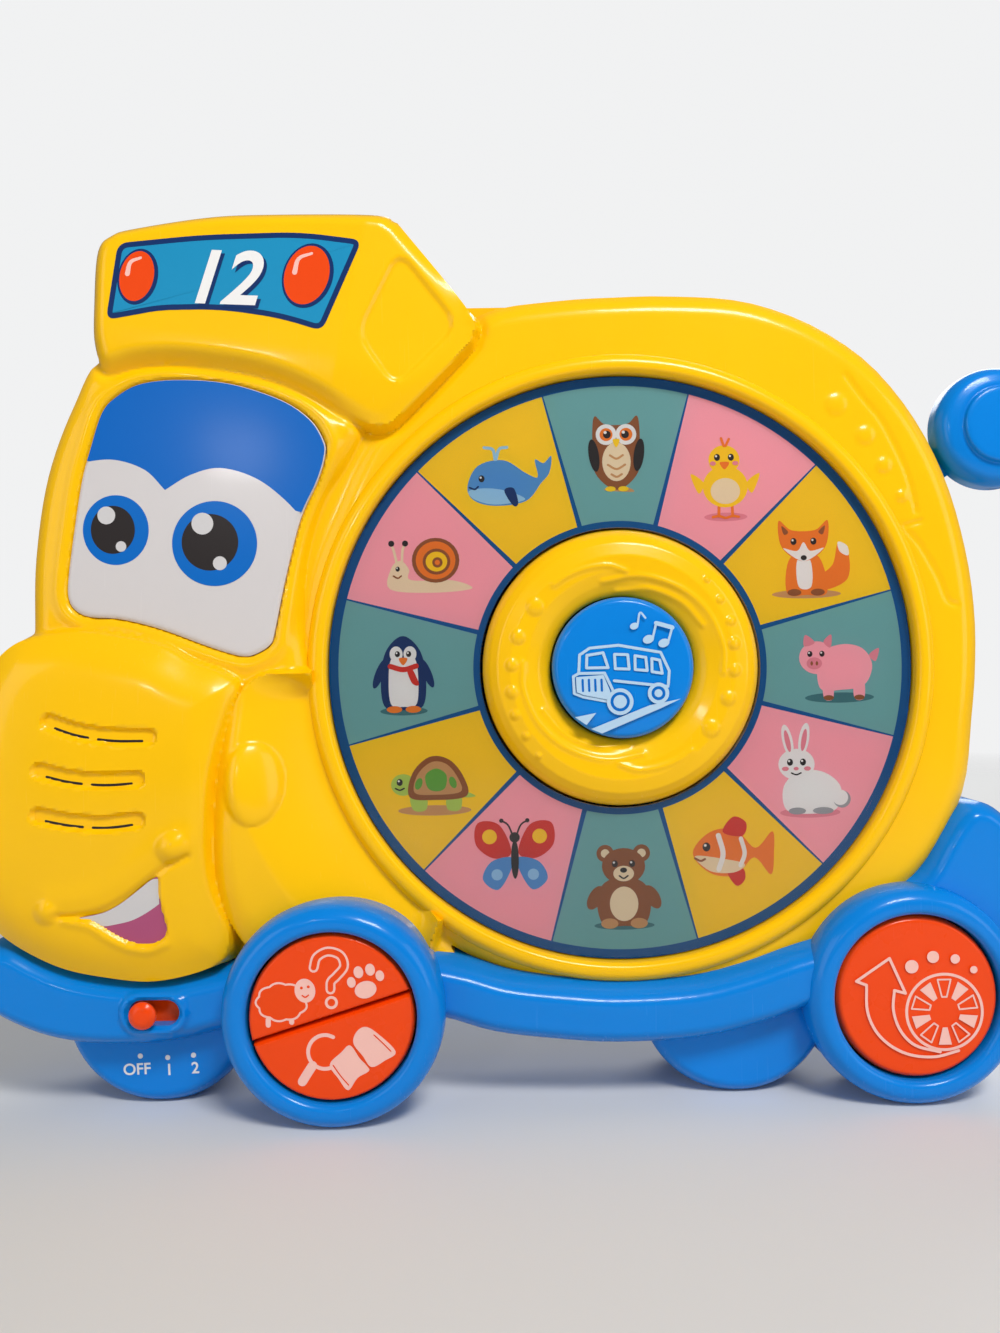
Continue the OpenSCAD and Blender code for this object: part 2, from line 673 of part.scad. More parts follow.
// Sector of the ring from r0 to r1 between two angles
module sector(a0, a1, r0, r1, y0, y1) {
    steps = 8;
    span = [for (i = [0:steps]) a0 + (a1 - a0) * i / steps];
    slab(y0, y1) polygon(concat(
        [for (a = span) polar(r1, a)], [for (i = [steps:-1:0]) polar(r0, span[i])]
    ));
}
module lever_window(g) {
    half = asin((arm_w / 2 + g) / (ring_r + 12));
    sector(lever_angle - lever_swing - half, lever_angle + half, ring_r + 3, ring_r + 40, -arm_out - g,
        arm_out + g);
}

module grille_row(row) {
    translate([hood_x + row[0][0], 0, hood_z + row[0][1]]) rotate([0, -row[1], 0]) children();
}

module front_shell() {
    color("gold") difference() {
        union() {
            difference() {
                yellow_forms(0, 0);
                yellow_forms(wall, past);
            }
            turned(disc_x, disc_z, [
                [opening_r, 3 - bead_front], [opening_r + 1, 0.8 - bead_front],
                [opening_r + bead_w * 0.4, -bead_front], [opening_r + bead_w * 0.75, 0.8 - bead_front],
                [ring_r, 2 - bead_front], [ring_r, wall - body_front], [opening_r + skirt_w,
                    wall - body_front],
                [opening_r + skirt_w, skirt_back], [opening_r, skirt_back]
            ]);
            lamp = ring(0, 0, 1, 32);
            loft([for (s = [[-2.4, 0.62], [-1.6, 0.88], [0.6, 1], [1, 1]])
                [s[0] - fender_front, [for (p = lamp) [lamp_x + lamp_w / 2 * s[1] * p[0],
                    lamp_z + lamp_h / 2 * s[1] * p[1]]]]]);
            plate(inset(windshield_outline, -2), windshield_t - 0.6 - cab_front,
                windshield_t - 0.6 + wall - cab_front);
            plate(inset(mouth_outline, -1.5), 1 - hood_front, 1 + wall - hood_front);
            difference() {
                rod(speaker_x, speaker_z, speaker_r + 0.5, wall / 2 - hood_front, speaker_seat, round_fn);
                rod(speaker_x, speaker_z, speaker_r - 2.5, -hood_front, speaker_seat + past, round_fn);
            }
            for (a = SPEAKER_EARS)
                rod(speaker_x + speaker_ear_r * cos(a), speaker_z + speaker_ear_r * sin(a), boss_r - 0.6,
                    wall / 2 - hood_front, speaker_seat + speaker_flange);
            for (t = TOWERS) rod_at(t, boss_r, wall / 2 - t[2], 0);
            for (e = FRAME_EARS) rod_at(polar(frame_ear_r, e[0]), boss_r, wall / 2 - e[1], frame_front);
            for (e = CHASSIS_EARS) rod_at(e[0], boss_r, wall / 2 - e[2], chassis_ear_y);
        }
        blue_forms(-seam_gap, past);
        for (e = CHASSIS_EARS) strap(e[0], e[1], ear_r + run_gap, chassis_ear_y, past);
        rod(disc_x, disc_z, opening_r, -bead_front - past, past, round_fn);
        plate(windshield_outline, -cab_front - past, windshield_t - 0.6 - cab_front);
        plate(mouth_outline, -hood_front - past, 1 - hood_front);
        plate(sign_label_outline, -sign_front - past, label_t / 2 - sign_front);
        for (row = GRILLE) grille_row(row) {
            slab(-hood_front - past, grille_sink - hood_front) stadium(grille_w, grille_h);
            for (s = [-1, 1]) translate([s * grille_w * 0.24, 0, -0.6 - s * 0.3])
                slab(-hood_front, wall + past - hood_front) square([grille_w * 0.4, 0.9], center = true);
        }
        for (t = TOWERS) rod_at(t, pilot_r, case_tip - 1, past);
        for (e = FRAME_EARS) rod_at(polar(frame_ear_r, e[0]), pilot_r, frame_tip - 0.5, frame_front + past);
        for (e = CHASSIS_EARS) rod_at(e[0], pilot_r, chassis_ear_y - 4, past);
        for (a = SPEAKER_EARS)
            rod(speaker_x + speaker_ear_r * cos(a), speaker_z + speaker_ear_r * sin(a), pilot_r,
                speaker_seat - 2, speaker_seat + speaker_flange + past);
        lever_window(0.6);
    }
}
module back_shell() {
    color("royalblue") difference() {
        union() {
            difference() {
                back_forms(0, 0);
                back_forms(wall, past);
                block(disc_x - band_ear_at - 16, disc_x + band_ear_at + 16, -past, back_depth - back_edge,
                    band_ear_z - 3, disc_low + 8);
            }
            for (t = TOWERS) rod_at(t, boss_r + 0.6, 0, back_depth - wall / 2);
            block(battery_x - box_w / 2 - box_wall, battery_x + box_w / 2 + box_wall, box_floor - box_wall,
                back_depth - wall / 2, battery_z - box_h / 2 - box_wall, battery_z + box_h / 2 + box_wall);
            block(door_left - 2, door_right + 2, door_inner - 1.8, back_depth - wall / 2, door_low - 2,
                door_high + 2);
            rod(door_screw_x, battery_z, boss_r, box_floor + 4, door_inner);
        }
        for (t = TOWERS) {
            rod_at(t, pass_r, -past, back_depth);
            rod_at(t, head_r + 0.5, tower_seat, back_depth + past);
        }
        block(battery_x - box_w / 2, battery_x + box_w / 2, box_floor, back_depth + past,
            battery_z - box_h / 2, battery_z + box_h / 2);
        block(door_left, door_right, door_inner, back_depth + past, door_low, door_high);
        rod(door_screw_x, battery_z, pilot_r, door_inner - 9, back_depth);
        for (s = [-1, 1])
            block(door_left + 0.6, door_left + 2.8, door_inner - 4, back_depth, battery_z + s * 10 - 3.6,
                battery_z + s * 10 + 3.6);
        for (s = [-1, 1]) for (e = [-1, 1])
            rod(battery_x + s * (box_w / 2 - 1), battery_z + e * cell_dz, 1.2, box_floor - box_wall - past,
                box_floor + past);
        below_floor();
        lever_window(0.6);
    }
}
module button_collar(x, front) {
    turned(x, near_z, [
        [wheel_button_r + button_gap, 1 - front], [wheel_button_r + button_gap + 2, 1 - front],
        [wheel_button_r + button_gap + 2, wheel_lip - front], [wheel_button_r + button_gap, wheel_lip - front]
    ]);
    for (a = WHEEL_POSTS)
        rod(x + wheel_post_at * cos(a), near_z + wheel_post_at * sin(a), wheel_post_r, 1 - front,
            wheel_board - front);
}
module button_cuts(x, front) {
    rod(x, near_z, wheel_button_r + button_gap, -front - past, wheel_lip - front + past, round_fn);
    for (a = WHEEL_POSTS)
        rod(x + wheel_post_at * cos(a), near_z + wheel_post_at * sin(a), small_r + shank_gap,
            wheel_board - front - 5, wheel_board - front + past);
}
module chassis() {
    color("dodgerblue") difference() {
        union() {
            difference() {
                blue_forms(0, 0);
                blue_forms(wall, past);
            }
            button_collar(front_wheel_x, front_wheel_front);
            button_collar(rear_wheel_x, rear_wheel_front);
            for (x = BAND_EARS) rod(x, band_ear_z, boss_r, wall / 2 - band_front, frame_front);
            for (e = CHASSIS_EARS) strap(e[0], e[1], ear_r, chassis_ear_y, chassis_ear_y + wall);
            translate([switch_x, 0, switch_z]) slab(-band_front - 0.8, wall / 2 - band_front)
                stadium(slot_w + 2 * switch_lip, slot_h + 2 * switch_lip);
            block(switch_x - slider_w / 2, switch_x + slider_w / 2, wall / 2 - band_front,
                slider_front - run_gap,
                switch_z - slider_h / 2, switch_z + slider_h / 2);
            for (p = SWITCH_POSTS) rod_at(p, 1.5, wall / 2 - band_front, switch_front);
        }
        button_cuts(front_wheel_x, front_wheel_front);
        button_cuts(rear_wheel_x, rear_wheel_front);
        for (x = BAND_EARS) rod(x, band_ear_z, pilot_r, frame_tip - 0.5, frame_front + past);
        for (e = CHASSIS_EARS) rod_at(e[0], pass_r, chassis_ear_y - past, chassis_ear_y + wall + past);
        translate([switch_x, 0, switch_z]) slab(-band_front - past, slider_front) stadium(slot_w, slot_h);
        for (p = SWITCH_POSTS) rod_at(p, small_r + shank_gap, switch_front - 3, switch_front + past);
        below_floor();
    }
}
module sign_label() {
    color("deepskyblue") plate(inset(sign_label_outline, 0.15), -label_t / 2 - sign_front,
        label_t / 2 - sign_front);
}
module windshield() {
    color("white") plate(inset(windshield_outline, 0.15), -0.6 - cab_front, windshield_t - 0.6 - cab_front);
}
module mouth_label() {
    color("orchid") plate(inset(mouth_outline, 0.15), 1 - label_t - hood_front, 1 - hood_front);
}
module picture_card() {
    color("khaki") turned(disc_x, disc_z, [
        [hub_r + cover_gap + 0.8, -card_front], [cover_r - 0.8, -card_front],
        [cover_r - 0.8, card_t - card_front], [hub_r + cover_gap + 0.8, card_t - card_front]
    ]);
}
module clear_cover() {
    inner = hub_r + cover_gap;
    color("lightcyan", 0.3) union() {
        difference() {
            turned(disc_x, disc_z, [
                [inner, -card_front - cover_t], [cover_r, -card_front - cover_t], [cover_r,
                    card_t - card_front],
                [cover_r - 0.7, card_t - card_front], [cover_r - 0.7, -card_front], [inner + 0.7,
                    -card_front],
                [inner + 0.7, card_t - card_front], [inner, card_t - card_front]
            ]);
            for (a = [0:90:270]) sector(a - 9, a + 9, cover_r - 0.4, cover_r + 2, -card_front - 3, 0);
        }
        for (a = [90, 210, 330])
            sector(a - 1.2, a + 1.2, cover_r - 2.2, cover_r - 0.6, -card_front - cover_t - 0.5,
                0.4 - card_front - cover_t);
    }
}
module press_plate() {
    color("white") turned(disc_x, disc_z, [
        [hole_r, card_t - card_front], [cover_r, card_t - card_front], [cover_r, plate_back],
        [flange_r, plate_back], [flange_r, flange_back], [opening_r - 5, flange_back],
        [opening_r - 5, plate_back], [hole_r, plate_back]
    ]);
}
module pad_ring() {
    dome_top = plate_back + press_travel + run_gap;
    color("lightgray") {
        turned(disc_x, disc_z, [
            [dome_ring_r - 8, board_front - pad_t], [dome_ring_r + 8, board_front - pad_t],
            [dome_ring_r + 8, board_front], [dome_ring_r - 8, board_front]
        ]);
        for (i = [0:sectors - 1]) {
            p = polar(dome_ring_r, 90 + i * 360 / sectors);
            rod_at(p, 4, dome_top + 1.4, board_front - pad_t / 2);
            rod_at(p, 2.4, dome_top, dome_top + 2);
        }
    }
}
module ring_board() {
    color("darkgreen") difference() {
        turned(disc_x, disc_z, [
            [ring_board_in, board_front], [ring_board_out, board_front], [ring_board_out, frame_front],
            [ring_board_in, frame_front]
        ]);
        for (a = RING_SCREWS) rod_at(polar(ring_screw_r, a), small_r + 0.2, board_front - past,
            frame_front + past);
    }
}
module wheel_frame() {
    color("ivory") difference() {
        union() {
            rod(disc_x, disc_z, frame_r, frame_front, frame_back, round_fn);
            for (e = FRAME_EARS)
                strap(polar(frame_ear_r, e[0]), polar(frame_r - 6, e[0]), ear_r, frame_front, frame_back);
            for (x = BAND_EARS) strap([x, band_ear_z], [x, band_ear_root], ear_r, frame_front, frame_back);
            rod(disc_x, disc_z, pivot_r, frame_front, pivot_end);
            rod(disc_x, disc_z, pivot_r + 3, frame_front, arm_front - 0.1);
            for (p = BOARD_POSTS) rod_at(p, 3, frame_front, main_board_front);
            for (a = RING_SCREWS) rod_at(polar(ring_screw_r, a), 2.4, frame_front, main_board_front - 0.4);
        }
        for (e = FRAME_EARS) rod_at(polar(frame_ear_r, e[0]), pass_r, frame_front - past, frame_back + past);
        for (x = BAND_EARS) rod(x, band_ear_z, pass_r, frame_front - past, frame_back + past);
        for (a = HUB_SCREWS) rod_at(polar(hub_screw_r, a), pass_r, frame_front - past, frame_back + past);
        rod(disc_x, disc_z, pilot_r, pivot_end - 7, pivot_end + past);
        for (p = BOARD_POSTS) rod_at(p, small_r + shank_gap, frame_front + 0.6, main_board_front + past);
        for (a = RING_SCREWS)
            rod_at(polar(ring_screw_r, a), small_r + shank_gap, frame_front - past, main_board_front - past);
        for (s = [-1, 1]) rod(disc_x + s * 10, disc_z, small_r + shank_gap, frame_front - past,
            frame_back - 0.4);
        for (a = [45:90:315]) rod_at(polar(70, a + 45), 8, frame_front - past, frame_back + past);
    }
}
module hub() {
    inner = music_r + button_gap;
    color("gold") difference() {
        union() {
            turned(disc_x, disc_z, [
                [hub_r, frame_front], [hub_r, 6.5 - hub_front], [hub_r - 1, 4 - hub_front],
                [hub_r - 4, 1.4 - hub_front], [hub_r - 8.6, -hub_front], [inner + 7, 0.4 - hub_front],
                [inner + 3, 1.7 - hub_front], [inner + 0.7, 3 - hub_front], [inner, 3.8 - hub_front],
                [inner, hub_lip_back], [inner + 2.4, hub_lip_back], [inner + 4.6, 4.4 - hub_front],
                [inner + 8, 2.8 - hub_front], [hub_r - 8.6, 2.2 - hub_front], [hub_r - 5, 3.4 - hub_front],
                [hub_r - 3, 5 - hub_front], [hub_r - wall, 7 - hub_front], [hub_r - wall, frame_front]
            ]);
            for (a = HUB_SCREWS) rod_at(polar(hub_screw_r, a), boss_r, 1.6 - hub_front, frame_front);
        }
        for (a = HUB_SCREWS) rod_at(polar(hub_screw_r, a), pilot_r, -8, frame_front + past);
    }
}
// Button cap: domed face, skirt, flange and stem
module button_cap(x, z, r, face, flange_y) {
    turned(x, z, [
        [0, face], [r * 0.7, face + 0.2], [r - 1.8, face + 0.8], [r - 0.5, face + 1.6], [r, face + 2.8],
        [r, flange_y], [r + lip - 0.2, flange_y], [r + lip - 0.2, flange_y + flange_t],
        [r - 2, flange_y + flange_t], [r - 2, face + 3], [0, face + 3]
    ]);
}
module pad(x, z, top, base) {
    rod(x, z, 7.5, base - pad_t, base);
    rod(x, z, 4, top + 1.4, base - pad_t / 2);
    rod(x, z, 2.6, top, top + 2);
}
module music_button() {
    color("dodgerblue") {
        button_cap(disc_x, disc_z, music_r, -music_front, music_flange);
        rod(disc_x, disc_z, stem_r, 1 - music_front, music_flange + flange_t);
    }
}
module music_pad() {
    color("lightgray") pad(disc_x, disc_z, music_flange + flange_t + button_travel + run_gap, board_front);
}
module hub_board() {
    color("darkgreen") difference() {
        rod(disc_x, disc_z, hub_board_r, board_front, frame_front, round_fn);
        for (s = [-1, 1]) rod(disc_x + s * 10, disc_z, small_r + 0.2, board_front - past, frame_front + past);
    }
}
function flange_at(front) = wheel_lip - front + run_gap;
function stem_back(front) = flange_at(front) + flange_t;
function half_centre(s) = [front_wheel_x - s * half_offset * sin(split_tilt),
    near_z + s * half_offset * cos(split_tilt)];
module half_button(s) {
    intersection() {
        button_cap(front_wheel_x, near_z, wheel_button_r, button_sink - front_wheel_front,
            flange_at(front_wheel_front));
        translate([front_wheel_x, 0, near_z]) rotate([0, -split_tilt, 0])
            block(-near_r, near_r, -front_wheel_front, 0, s > 0 ? split_gap / 2 : -near_r,
                s > 0 ? near_r : -split_gap / 2);
    }
    rod_at(half_centre(s), stem_r, button_sink + 1 - front_wheel_front, stem_back(front_wheel_front));
}
module quiz_button() {
    color("orangered") half_button(1);
}
module story_button() {
    color("orangered") half_button(-1);
}
module spin_button() {
    color("orangered") {
        button_cap(rear_wheel_x, near_z, wheel_button_r, button_sink - rear_wheel_front,
            flange_at(rear_wheel_front));
        rod(rear_wheel_x, near_z, stem_r, button_sink + 1 - rear_wheel_front, stem_back(rear_wheel_front));
    }
}
module front_button_pads() {
    color("lightgray") for (s = [-1, 1])
        pad(half_centre(s)[0], half_centre(s)[1], stem_back(front_wheel_front) + button_travel + run_gap,
            wheel_board - front_wheel_front);
}
module rear_button_pad() {
    color("lightgray") pad(rear_wheel_x, near_z, stem_back(rear_wheel_front) + button_travel + run_gap,
        wheel_board - rear_wheel_front);
}
module wheel_button_board(x, front) {
    color("darkgreen") difference() {
        rod(x, near_z, wheel_board_r, wheel_board - front, wheel_board - front + board_t, round_fn);
        for (a = WHEEL_POSTS)
            rod(x + wheel_post_at * cos(a), near_z + wheel_post_at * sin(a), small_r + 0.2,
                wheel_board - front - past, wheel_board - front + board_t + past);
    }
}
module front_button_board() {
    wheel_button_board(front_wheel_x, front_wheel_front);
}
module rear_button_board() {
    wheel_button_board(rear_wheel_x, rear_wheel_front);
}

module lever_arm() {
    root = polar(ring_r + 5, lever_angle);
    color("dodgerblue") difference() {
        union() {
            rod(disc_x, disc_z, pivot_r + 4.5, arm_front, arm_back);
            strap([disc_x, disc_z] + (root - [disc_x, disc_z]) * 0.06, root, arm_w / 2, arm_front, arm_back);
            strap(root, tip, arm_w / 2, -arm_out + 1.5, arm_out);
            turned(tip[0], tip[1], [
                [0, knob_seat], [knob_r, knob_seat], [knob_r, knob_seat + 2.5], [knob_r - 1.6, knob_seat + 5],
                [knob_r - 5, knob_seat + 6.5], [0, knob_seat + 6.5]
            ]);
        }
        rod(disc_x, disc_z, pivot_r + pivot_fit, arm_front - past, arm_back + past, round_fn);
        rod_at(tip, pass_r, knob_seat - past, knob_seat + 12);
        rod_at(tip, head_r + 0.4, knob_seat + 4, knob_seat + 12);
    }
}
module lever_knob() {
    color("dodgerblue") difference() {
        turned(tip[0], tip[1], [
            [0, -knob_front], [knob_r * 0.56, -knob_front], [knob_r * 0.61, 0.6 - knob_front],
            [knob_r * 0.63, 1.5 - knob_front], [knob_r * 0.67, 1.7 - knob_front], [knob_r * 0.84,
                2.4 - knob_front],
            [knob_r * 0.96, 4.2 - knob_front], [knob_r, 6.8 - knob_front], [knob_r, knob_seat],
            [knob_r - wall, knob_seat], [knob_r - wall, 6 - knob_front], [knob_r * 0.6, 4 - knob_front],
            [boss_r, 4 - knob_front], [boss_r, knob_seat], [0, knob_seat]
        ]);
        rod_at(tip, pilot_r, 2.5 - knob_front, knob_seat + past);
    }
}
module knob_screw() {
    color("silver") screw(tip[0], tip[1], knob_seat + 4, 3 - knob_front);
}
module pivot_screw() {
    color("silver") {
        screw(disc_x, disc_z, pivot_end, pivot_end - 6);
        difference() {
            rod(disc_x, disc_z, pivot_r + 3.5, pivot_end, pivot_end + 0.8);
            rod(disc_x, disc_z, head_r - 0.4, pivot_end - past, pivot_end + 2);
        }
    }
}
module lever_spring() {
    wire = 0.5;
    mean = pivot_r + 0.5 + wire;
    turns = 3;
    y0 = arm_back + wire + 0.3;
    pitch = (pivot_end - arm_back - 2 * wire - 0.6) / turns;
    coil = [for (i = [0:turns * 14])
        let (a = 360 * i / 14 - 70) [disc_x + mean * cos(a), y0 + pitch * i / 14, disc_z + mean * sin(a)]];
    leg = [disc_x + mean * cos(-90) + 16, y0, disc_z + mean * sin(-90) + 1];
    color("silver") tube(concat([leg], coil), wire);
}
module lever_switch() {
    low = lever_angle - lever_swing;
    reach = polar(switch_arm_r, low);
    top = reach[1] - arm_w / 2 / cos(low) - 1.2;
    color("dimgray") block(reach[0] - 6, reach[0] + 6, frame_back, arm_back + 1, top - 7, top);
}

module switch_knob() {
    x = switch_x - switch_travel / 2;
    color("orangered") {
        turned(x, switch_z, [
            [0, -band_front - 2.6], [switch_r * 0.6, -band_front - 2.2], [switch_r - 0.2, -band_front - 1],
            [switch_r, -band_front], [switch_r, slider_front + 0.5], [0, slider_front + 0.5]
        ]);
        block(x - slider_w / 2, x + slider_w / 2, slider_front, slider_front + slider_t,
            switch_z - slider_h / 2, switch_z + slider_h / 2);
        block(x - 1.5, x + 1.5, slider_front, switch_front - run_gap, switch_z - 1, switch_z + 1);
    }
}
module slide_switch() {
    color("silver") difference() {
        union() {
            block(SWITCH_POSTS[0][0] - 1.8, SWITCH_POSTS[1][0] + 1.8, switch_front, switch_front + 0.8,
                switch_z - 3, SWITCH_POSTS[0][1] + 1.8);
            block(switch_x - 7, switch_x + 7, switch_front, switch_front + 5.5, switch_z - 3, switch_z + 3);
            for (s = [-1:1]) block(switch_x + s * 4 - 0.4, switch_x + s * 4 + 0.4, switch_front + 5,
                switch_front + 8,
                switch_z - 0.4, switch_z + 0.4);
        }
        for (p = SWITCH_POSTS) rod_at(p, small_r + 0.1, switch_front - past, switch_front + 2);
    }
}
module main_board() {
    color("darkgreen") difference() {
        block(board_left, board_right, main_board_front, main_board_back, board_low, board_low + board_h);
        for (p = BOARD_POSTS) rod_at(p, small_r + 0.2, main_board_front - past, main_board_back + past);
    }
}
module sound_chip() {
    color("black") turned(chip_x, chip_z, [
        [0, main_board_back], [8, main_board_back], [7.2, main_board_back + 0.9], [4, main_board_back + 1.6],
        [0, main_board_back + 1.8]
    ]);
}
module capacitors() {
    color("darkslateblue") for (i = [0:2])
        rod(chip_x + 16 + i * 7, chip_z + 12, 2.5, main_board_back, main_board_back + 4.5);
}
module speaker_basket() {
    color("silver") turned(speaker_x, speaker_z, [
        [speaker_r - 2.8, speaker_seat], [speaker_r, speaker_seat], [speaker_r,
            speaker_seat + speaker_flange],
        [speaker_r - 2, speaker_seat + speaker_flange], [magnet_r + 1.4, magnet_front], [0, magnet_front],
        [0, magnet_front - 1.2], [magnet_r + 0.6, magnet_front - 1.2]
    ]);
}
module speaker_cone() {
    edge = speaker_r - 3.6;
    color("dimgray") turned(speaker_x, speaker_z, [
        [0, speaker_seat + 4.2], [5, speaker_seat + 4.9], [edge - 0.6, speaker_seat + 0.3], [edge,
            speaker_seat + 0.3],
        [edge, speaker_seat + 0.8], [6, speaker_seat + 6], [6, magnet_front - 1.2], [5.2, magnet_front - 1.2],
        [5.2, speaker_seat + 5.9], [0, speaker_seat + 5]
    ]);
}
module speaker_magnet() {
    color("gray") rod(speaker_x, speaker_z, magnet_r, magnet_front, magnet_front + magnet_t, round_fn);
}
module speaker_clamp() {
    y0 = speaker_seat + speaker_flange;
    color("dimgray") difference() {
        union() {
            rod(speaker_x, speaker_z, speaker_r + 0.8, y0, y0 + clamp_t, round_fn);
            for (a = SPEAKER_EARS)
                strap([speaker_x + speaker_ear_r * cos(a), speaker_z + speaker_ear_r * sin(a)],
                    [speaker_x + speaker_r * cos(a), speaker_z + speaker_r * sin(a)], 3.4, y0, y0 + clamp_t);
        }
        rod(speaker_x, speaker_z, speaker_r - 1.7, y0 - past, y0 + clamp_t + past, round_fn);
        for (a = SPEAKER_EARS)
            rod(speaker_x + speaker_ear_r * cos(a), speaker_z + speaker_ear_r * sin(a), pass_r, y0 - past,
                y0 + clamp_t + past);
    }
}
module speaker_screws() {
    y0 = speaker_seat + speaker_flange + clamp_t;
    color("silver") for (a = SPEAKER_EARS)
        screw(speaker_x + speaker_ear_r * cos(a), speaker_z + speaker_ear_r * sin(a), y0, y0 - 4.4);
}

// One cell; s = 1 has its nub at the left
module cell(s, z) {
    nub = 1.2;
    x0 = battery_x - s * (box_w / 2 - contact_t - 0.1);
    color("goldenrod") translate([x0, cell_y, z]) rotate([0, s * 90, 0]) {
        cylinder(r = 2.7, h = nub + 1, $fn = small_fn);
        translate([0, 0, nub]) cylinder(r = cell_r, h = cell_len - nub, $fn = round_fn);
    }
}
module upper_cell() {
    cell(1, battery_z + cell_dz);
}
module lower_cell() {
    cell(-1, battery_z - cell_dz);
}
module battery_contacts() {
    color("silver") for (s = [-1, 1]) {
        x = battery_x + s * box_w / 2;
        block(min(x, x - s * contact_t), max(x, x - s * contact_t), cell_y - 5, cell_y + 5,
            battery_z - cell_dz - 5, battery_z + cell_dz + 5);
    }
}
module battery_springs() {
    turns = 5;
    per = 10;
    gap = box_w - cell_len - 2 * contact_t - 0.1 - 2 * spring_wire;
    color("silver") for (s = [-1, 1]) {
        x0 = battery_x + s * (box_w / 2 - contact_t - spring_wire);
        tube([for (i = [0:turns * per])
            let (r = 4.6 - 2 * i / turns / per, a = s * 360 * i / per)
            [x0 - s * (gap - 0.1) * i / turns / per, cell_y + r * cos(a),
                battery_z + s * cell_dz + r * sin(a)]],
            spring_wire);
    }
}
module battery_door() {
    g = door_gap;
    color("royalblue") difference() {
        union() {
            block(door_left + g, door_right - g, door_inner, back_depth, door_low + g, door_high - g);
            for (s = [-1, 1])
                block(door_left + 1, door_left + 2.4, door_inner - 3.4, door_inner + 0.5,
                    battery_z + s * 10 - 3, battery_z + s * 10 + 3);
        }
        rod(door_screw_x, battery_z, pass_r, door_inner - past, back_depth + past);
        rod(door_screw_x, battery_z, head_r + 0.4, back_depth - 1.2, back_depth + past);
    }
}
module door_screw() {
    color("silver") screw(door_screw_x, battery_z, back_depth - 1.2, door_inner - 8, shank_r, head_r, 1);
}
module case_screws() {
    color("silver") for (t = TOWERS) screw(t[0], t[1], tower_seat, case_tip);
}
module frame_screws() {
    color("silver") {
        for (e = FRAME_EARS) screw(polar(frame_ear_r, e[0])[0], polar(frame_ear_r, e[0])[1], frame_back,
            frame_tip);
        for (x = BAND_EARS) screw(x, band_ear_z, frame_back, frame_tip);
        for (a = HUB_SCREWS) screw(polar(hub_screw_r, a)[0], polar(hub_screw_r, a)[1], frame_back, -7);
    }
}
module chassis_screws() {
    color("silver") for (e = CHASSIS_EARS)
        screw(e[0][0], e[0][1], chassis_ear_y + wall, chassis_ear_y - 3.5);
}
module small_screw(x, z, head, tip) {
    screw(x, z, head, tip, small_r, small_head_r, small_head_t);
}
module board_screws() {
    color("silver") {
        for (p = BOARD_POSTS) small_screw(p[0], p[1], main_board_back, frame_front + 0.8);
        for (a = RING_SCREWS)
            small_screw(polar(ring_screw_r, a)[0], polar(ring_screw_r, a)[1], board_front,
                main_board_front - 1.2);
        for (s = [-1, 1]) small_screw(disc_x + s * 10, disc_z, board_front, frame_back - 0.6);
        for (w = [[front_wheel_x, front_wheel_front], [rear_wheel_x, rear_wheel_front]]) for (a = WHEEL_POSTS)
            small_screw(w[0] + wheel_post_at * cos(a), near_z + wheel_post_at * sin(a),
                wheel_board - w[1] + board_t, wheel_board - w[1] - 4);
        for (p = SWITCH_POSTS) small_screw(p[0], p[1], switch_front + 0.8, switch_front - 2.5);
    }
}
// Smooth path through open points
function smooth(p, steps) =
    let (n = len(p))
    concat([for (i = [0:n - 2], k = [0:steps - 1])
        let (t = k / steps, a = p[max(i - 1, 0)], b = p[i], c = p[i + 1], d = p[min(i + 2, n - 1)])
        (2 * b + (c - a) * t + (2 * a - 5 * b + 4 * c - d) * t * t + (3 * b - a - 3 * c + d) * t * t * t) /
            2],
        [p[n - 1]]);
module wires(route, count, beside) {
    for (i = [0:count - 1]) tube(smooth([for (p = route) p + i * wire_step * beside], 3), wire_r);
}
module speaker_leads() {
    color("firebrick") wires(SPEAKER_ROUTE, 2, [0, 0, 1]);
}
module battery_leads() {
    color("firebrick") wires(BATTERY_ROUTE, 2, [1, 0, 0]);
}
module switch_leads() {
    color("black") wires(SWITCH_ROUTE, 2, [-0.87, 0, 0.49]);
}
module front_ribbon() {
    color("gray") wires(FRONT_ROUTE, 3, [1, 0, 0]);
}
module rear_ribbon() {
    color("gray") wires(REAR_ROUTE, 2, [0.6, 0, 0.8]);
}

front_shell();
back_shell();
chassis();
sign_label();
windshield();
mouth_label();
picture_card();
clear_cover();
press_plate();
pad_ring();
ring_board();
wheel_frame();
hub();
music_button();
music_pad();
hub_board();
quiz_button();
story_button();
front_button_pads();
front_button_board();
spin_button();
rear_button_pad();
rear_button_board();
lever_arm();
lever_knob();
lever_spring();
lever_switch();
pivot_screw();
knob_screw();
switch_knob();
slide_switch();
main_board();
sound_chip();
capacitors();
speaker_basket();
speaker_cone();
speaker_magnet();
speaker_clamp();
speaker_screws();
upper_cell();
lower_cell();
battery_contacts();
battery_springs();
battery_door();
door_screw();
case_screws();
frame_screws();
chassis_screws();
board_screws();
speaker_leads();
battery_leads();
switch_leads();
front_ribbon();
rear_ribbon();
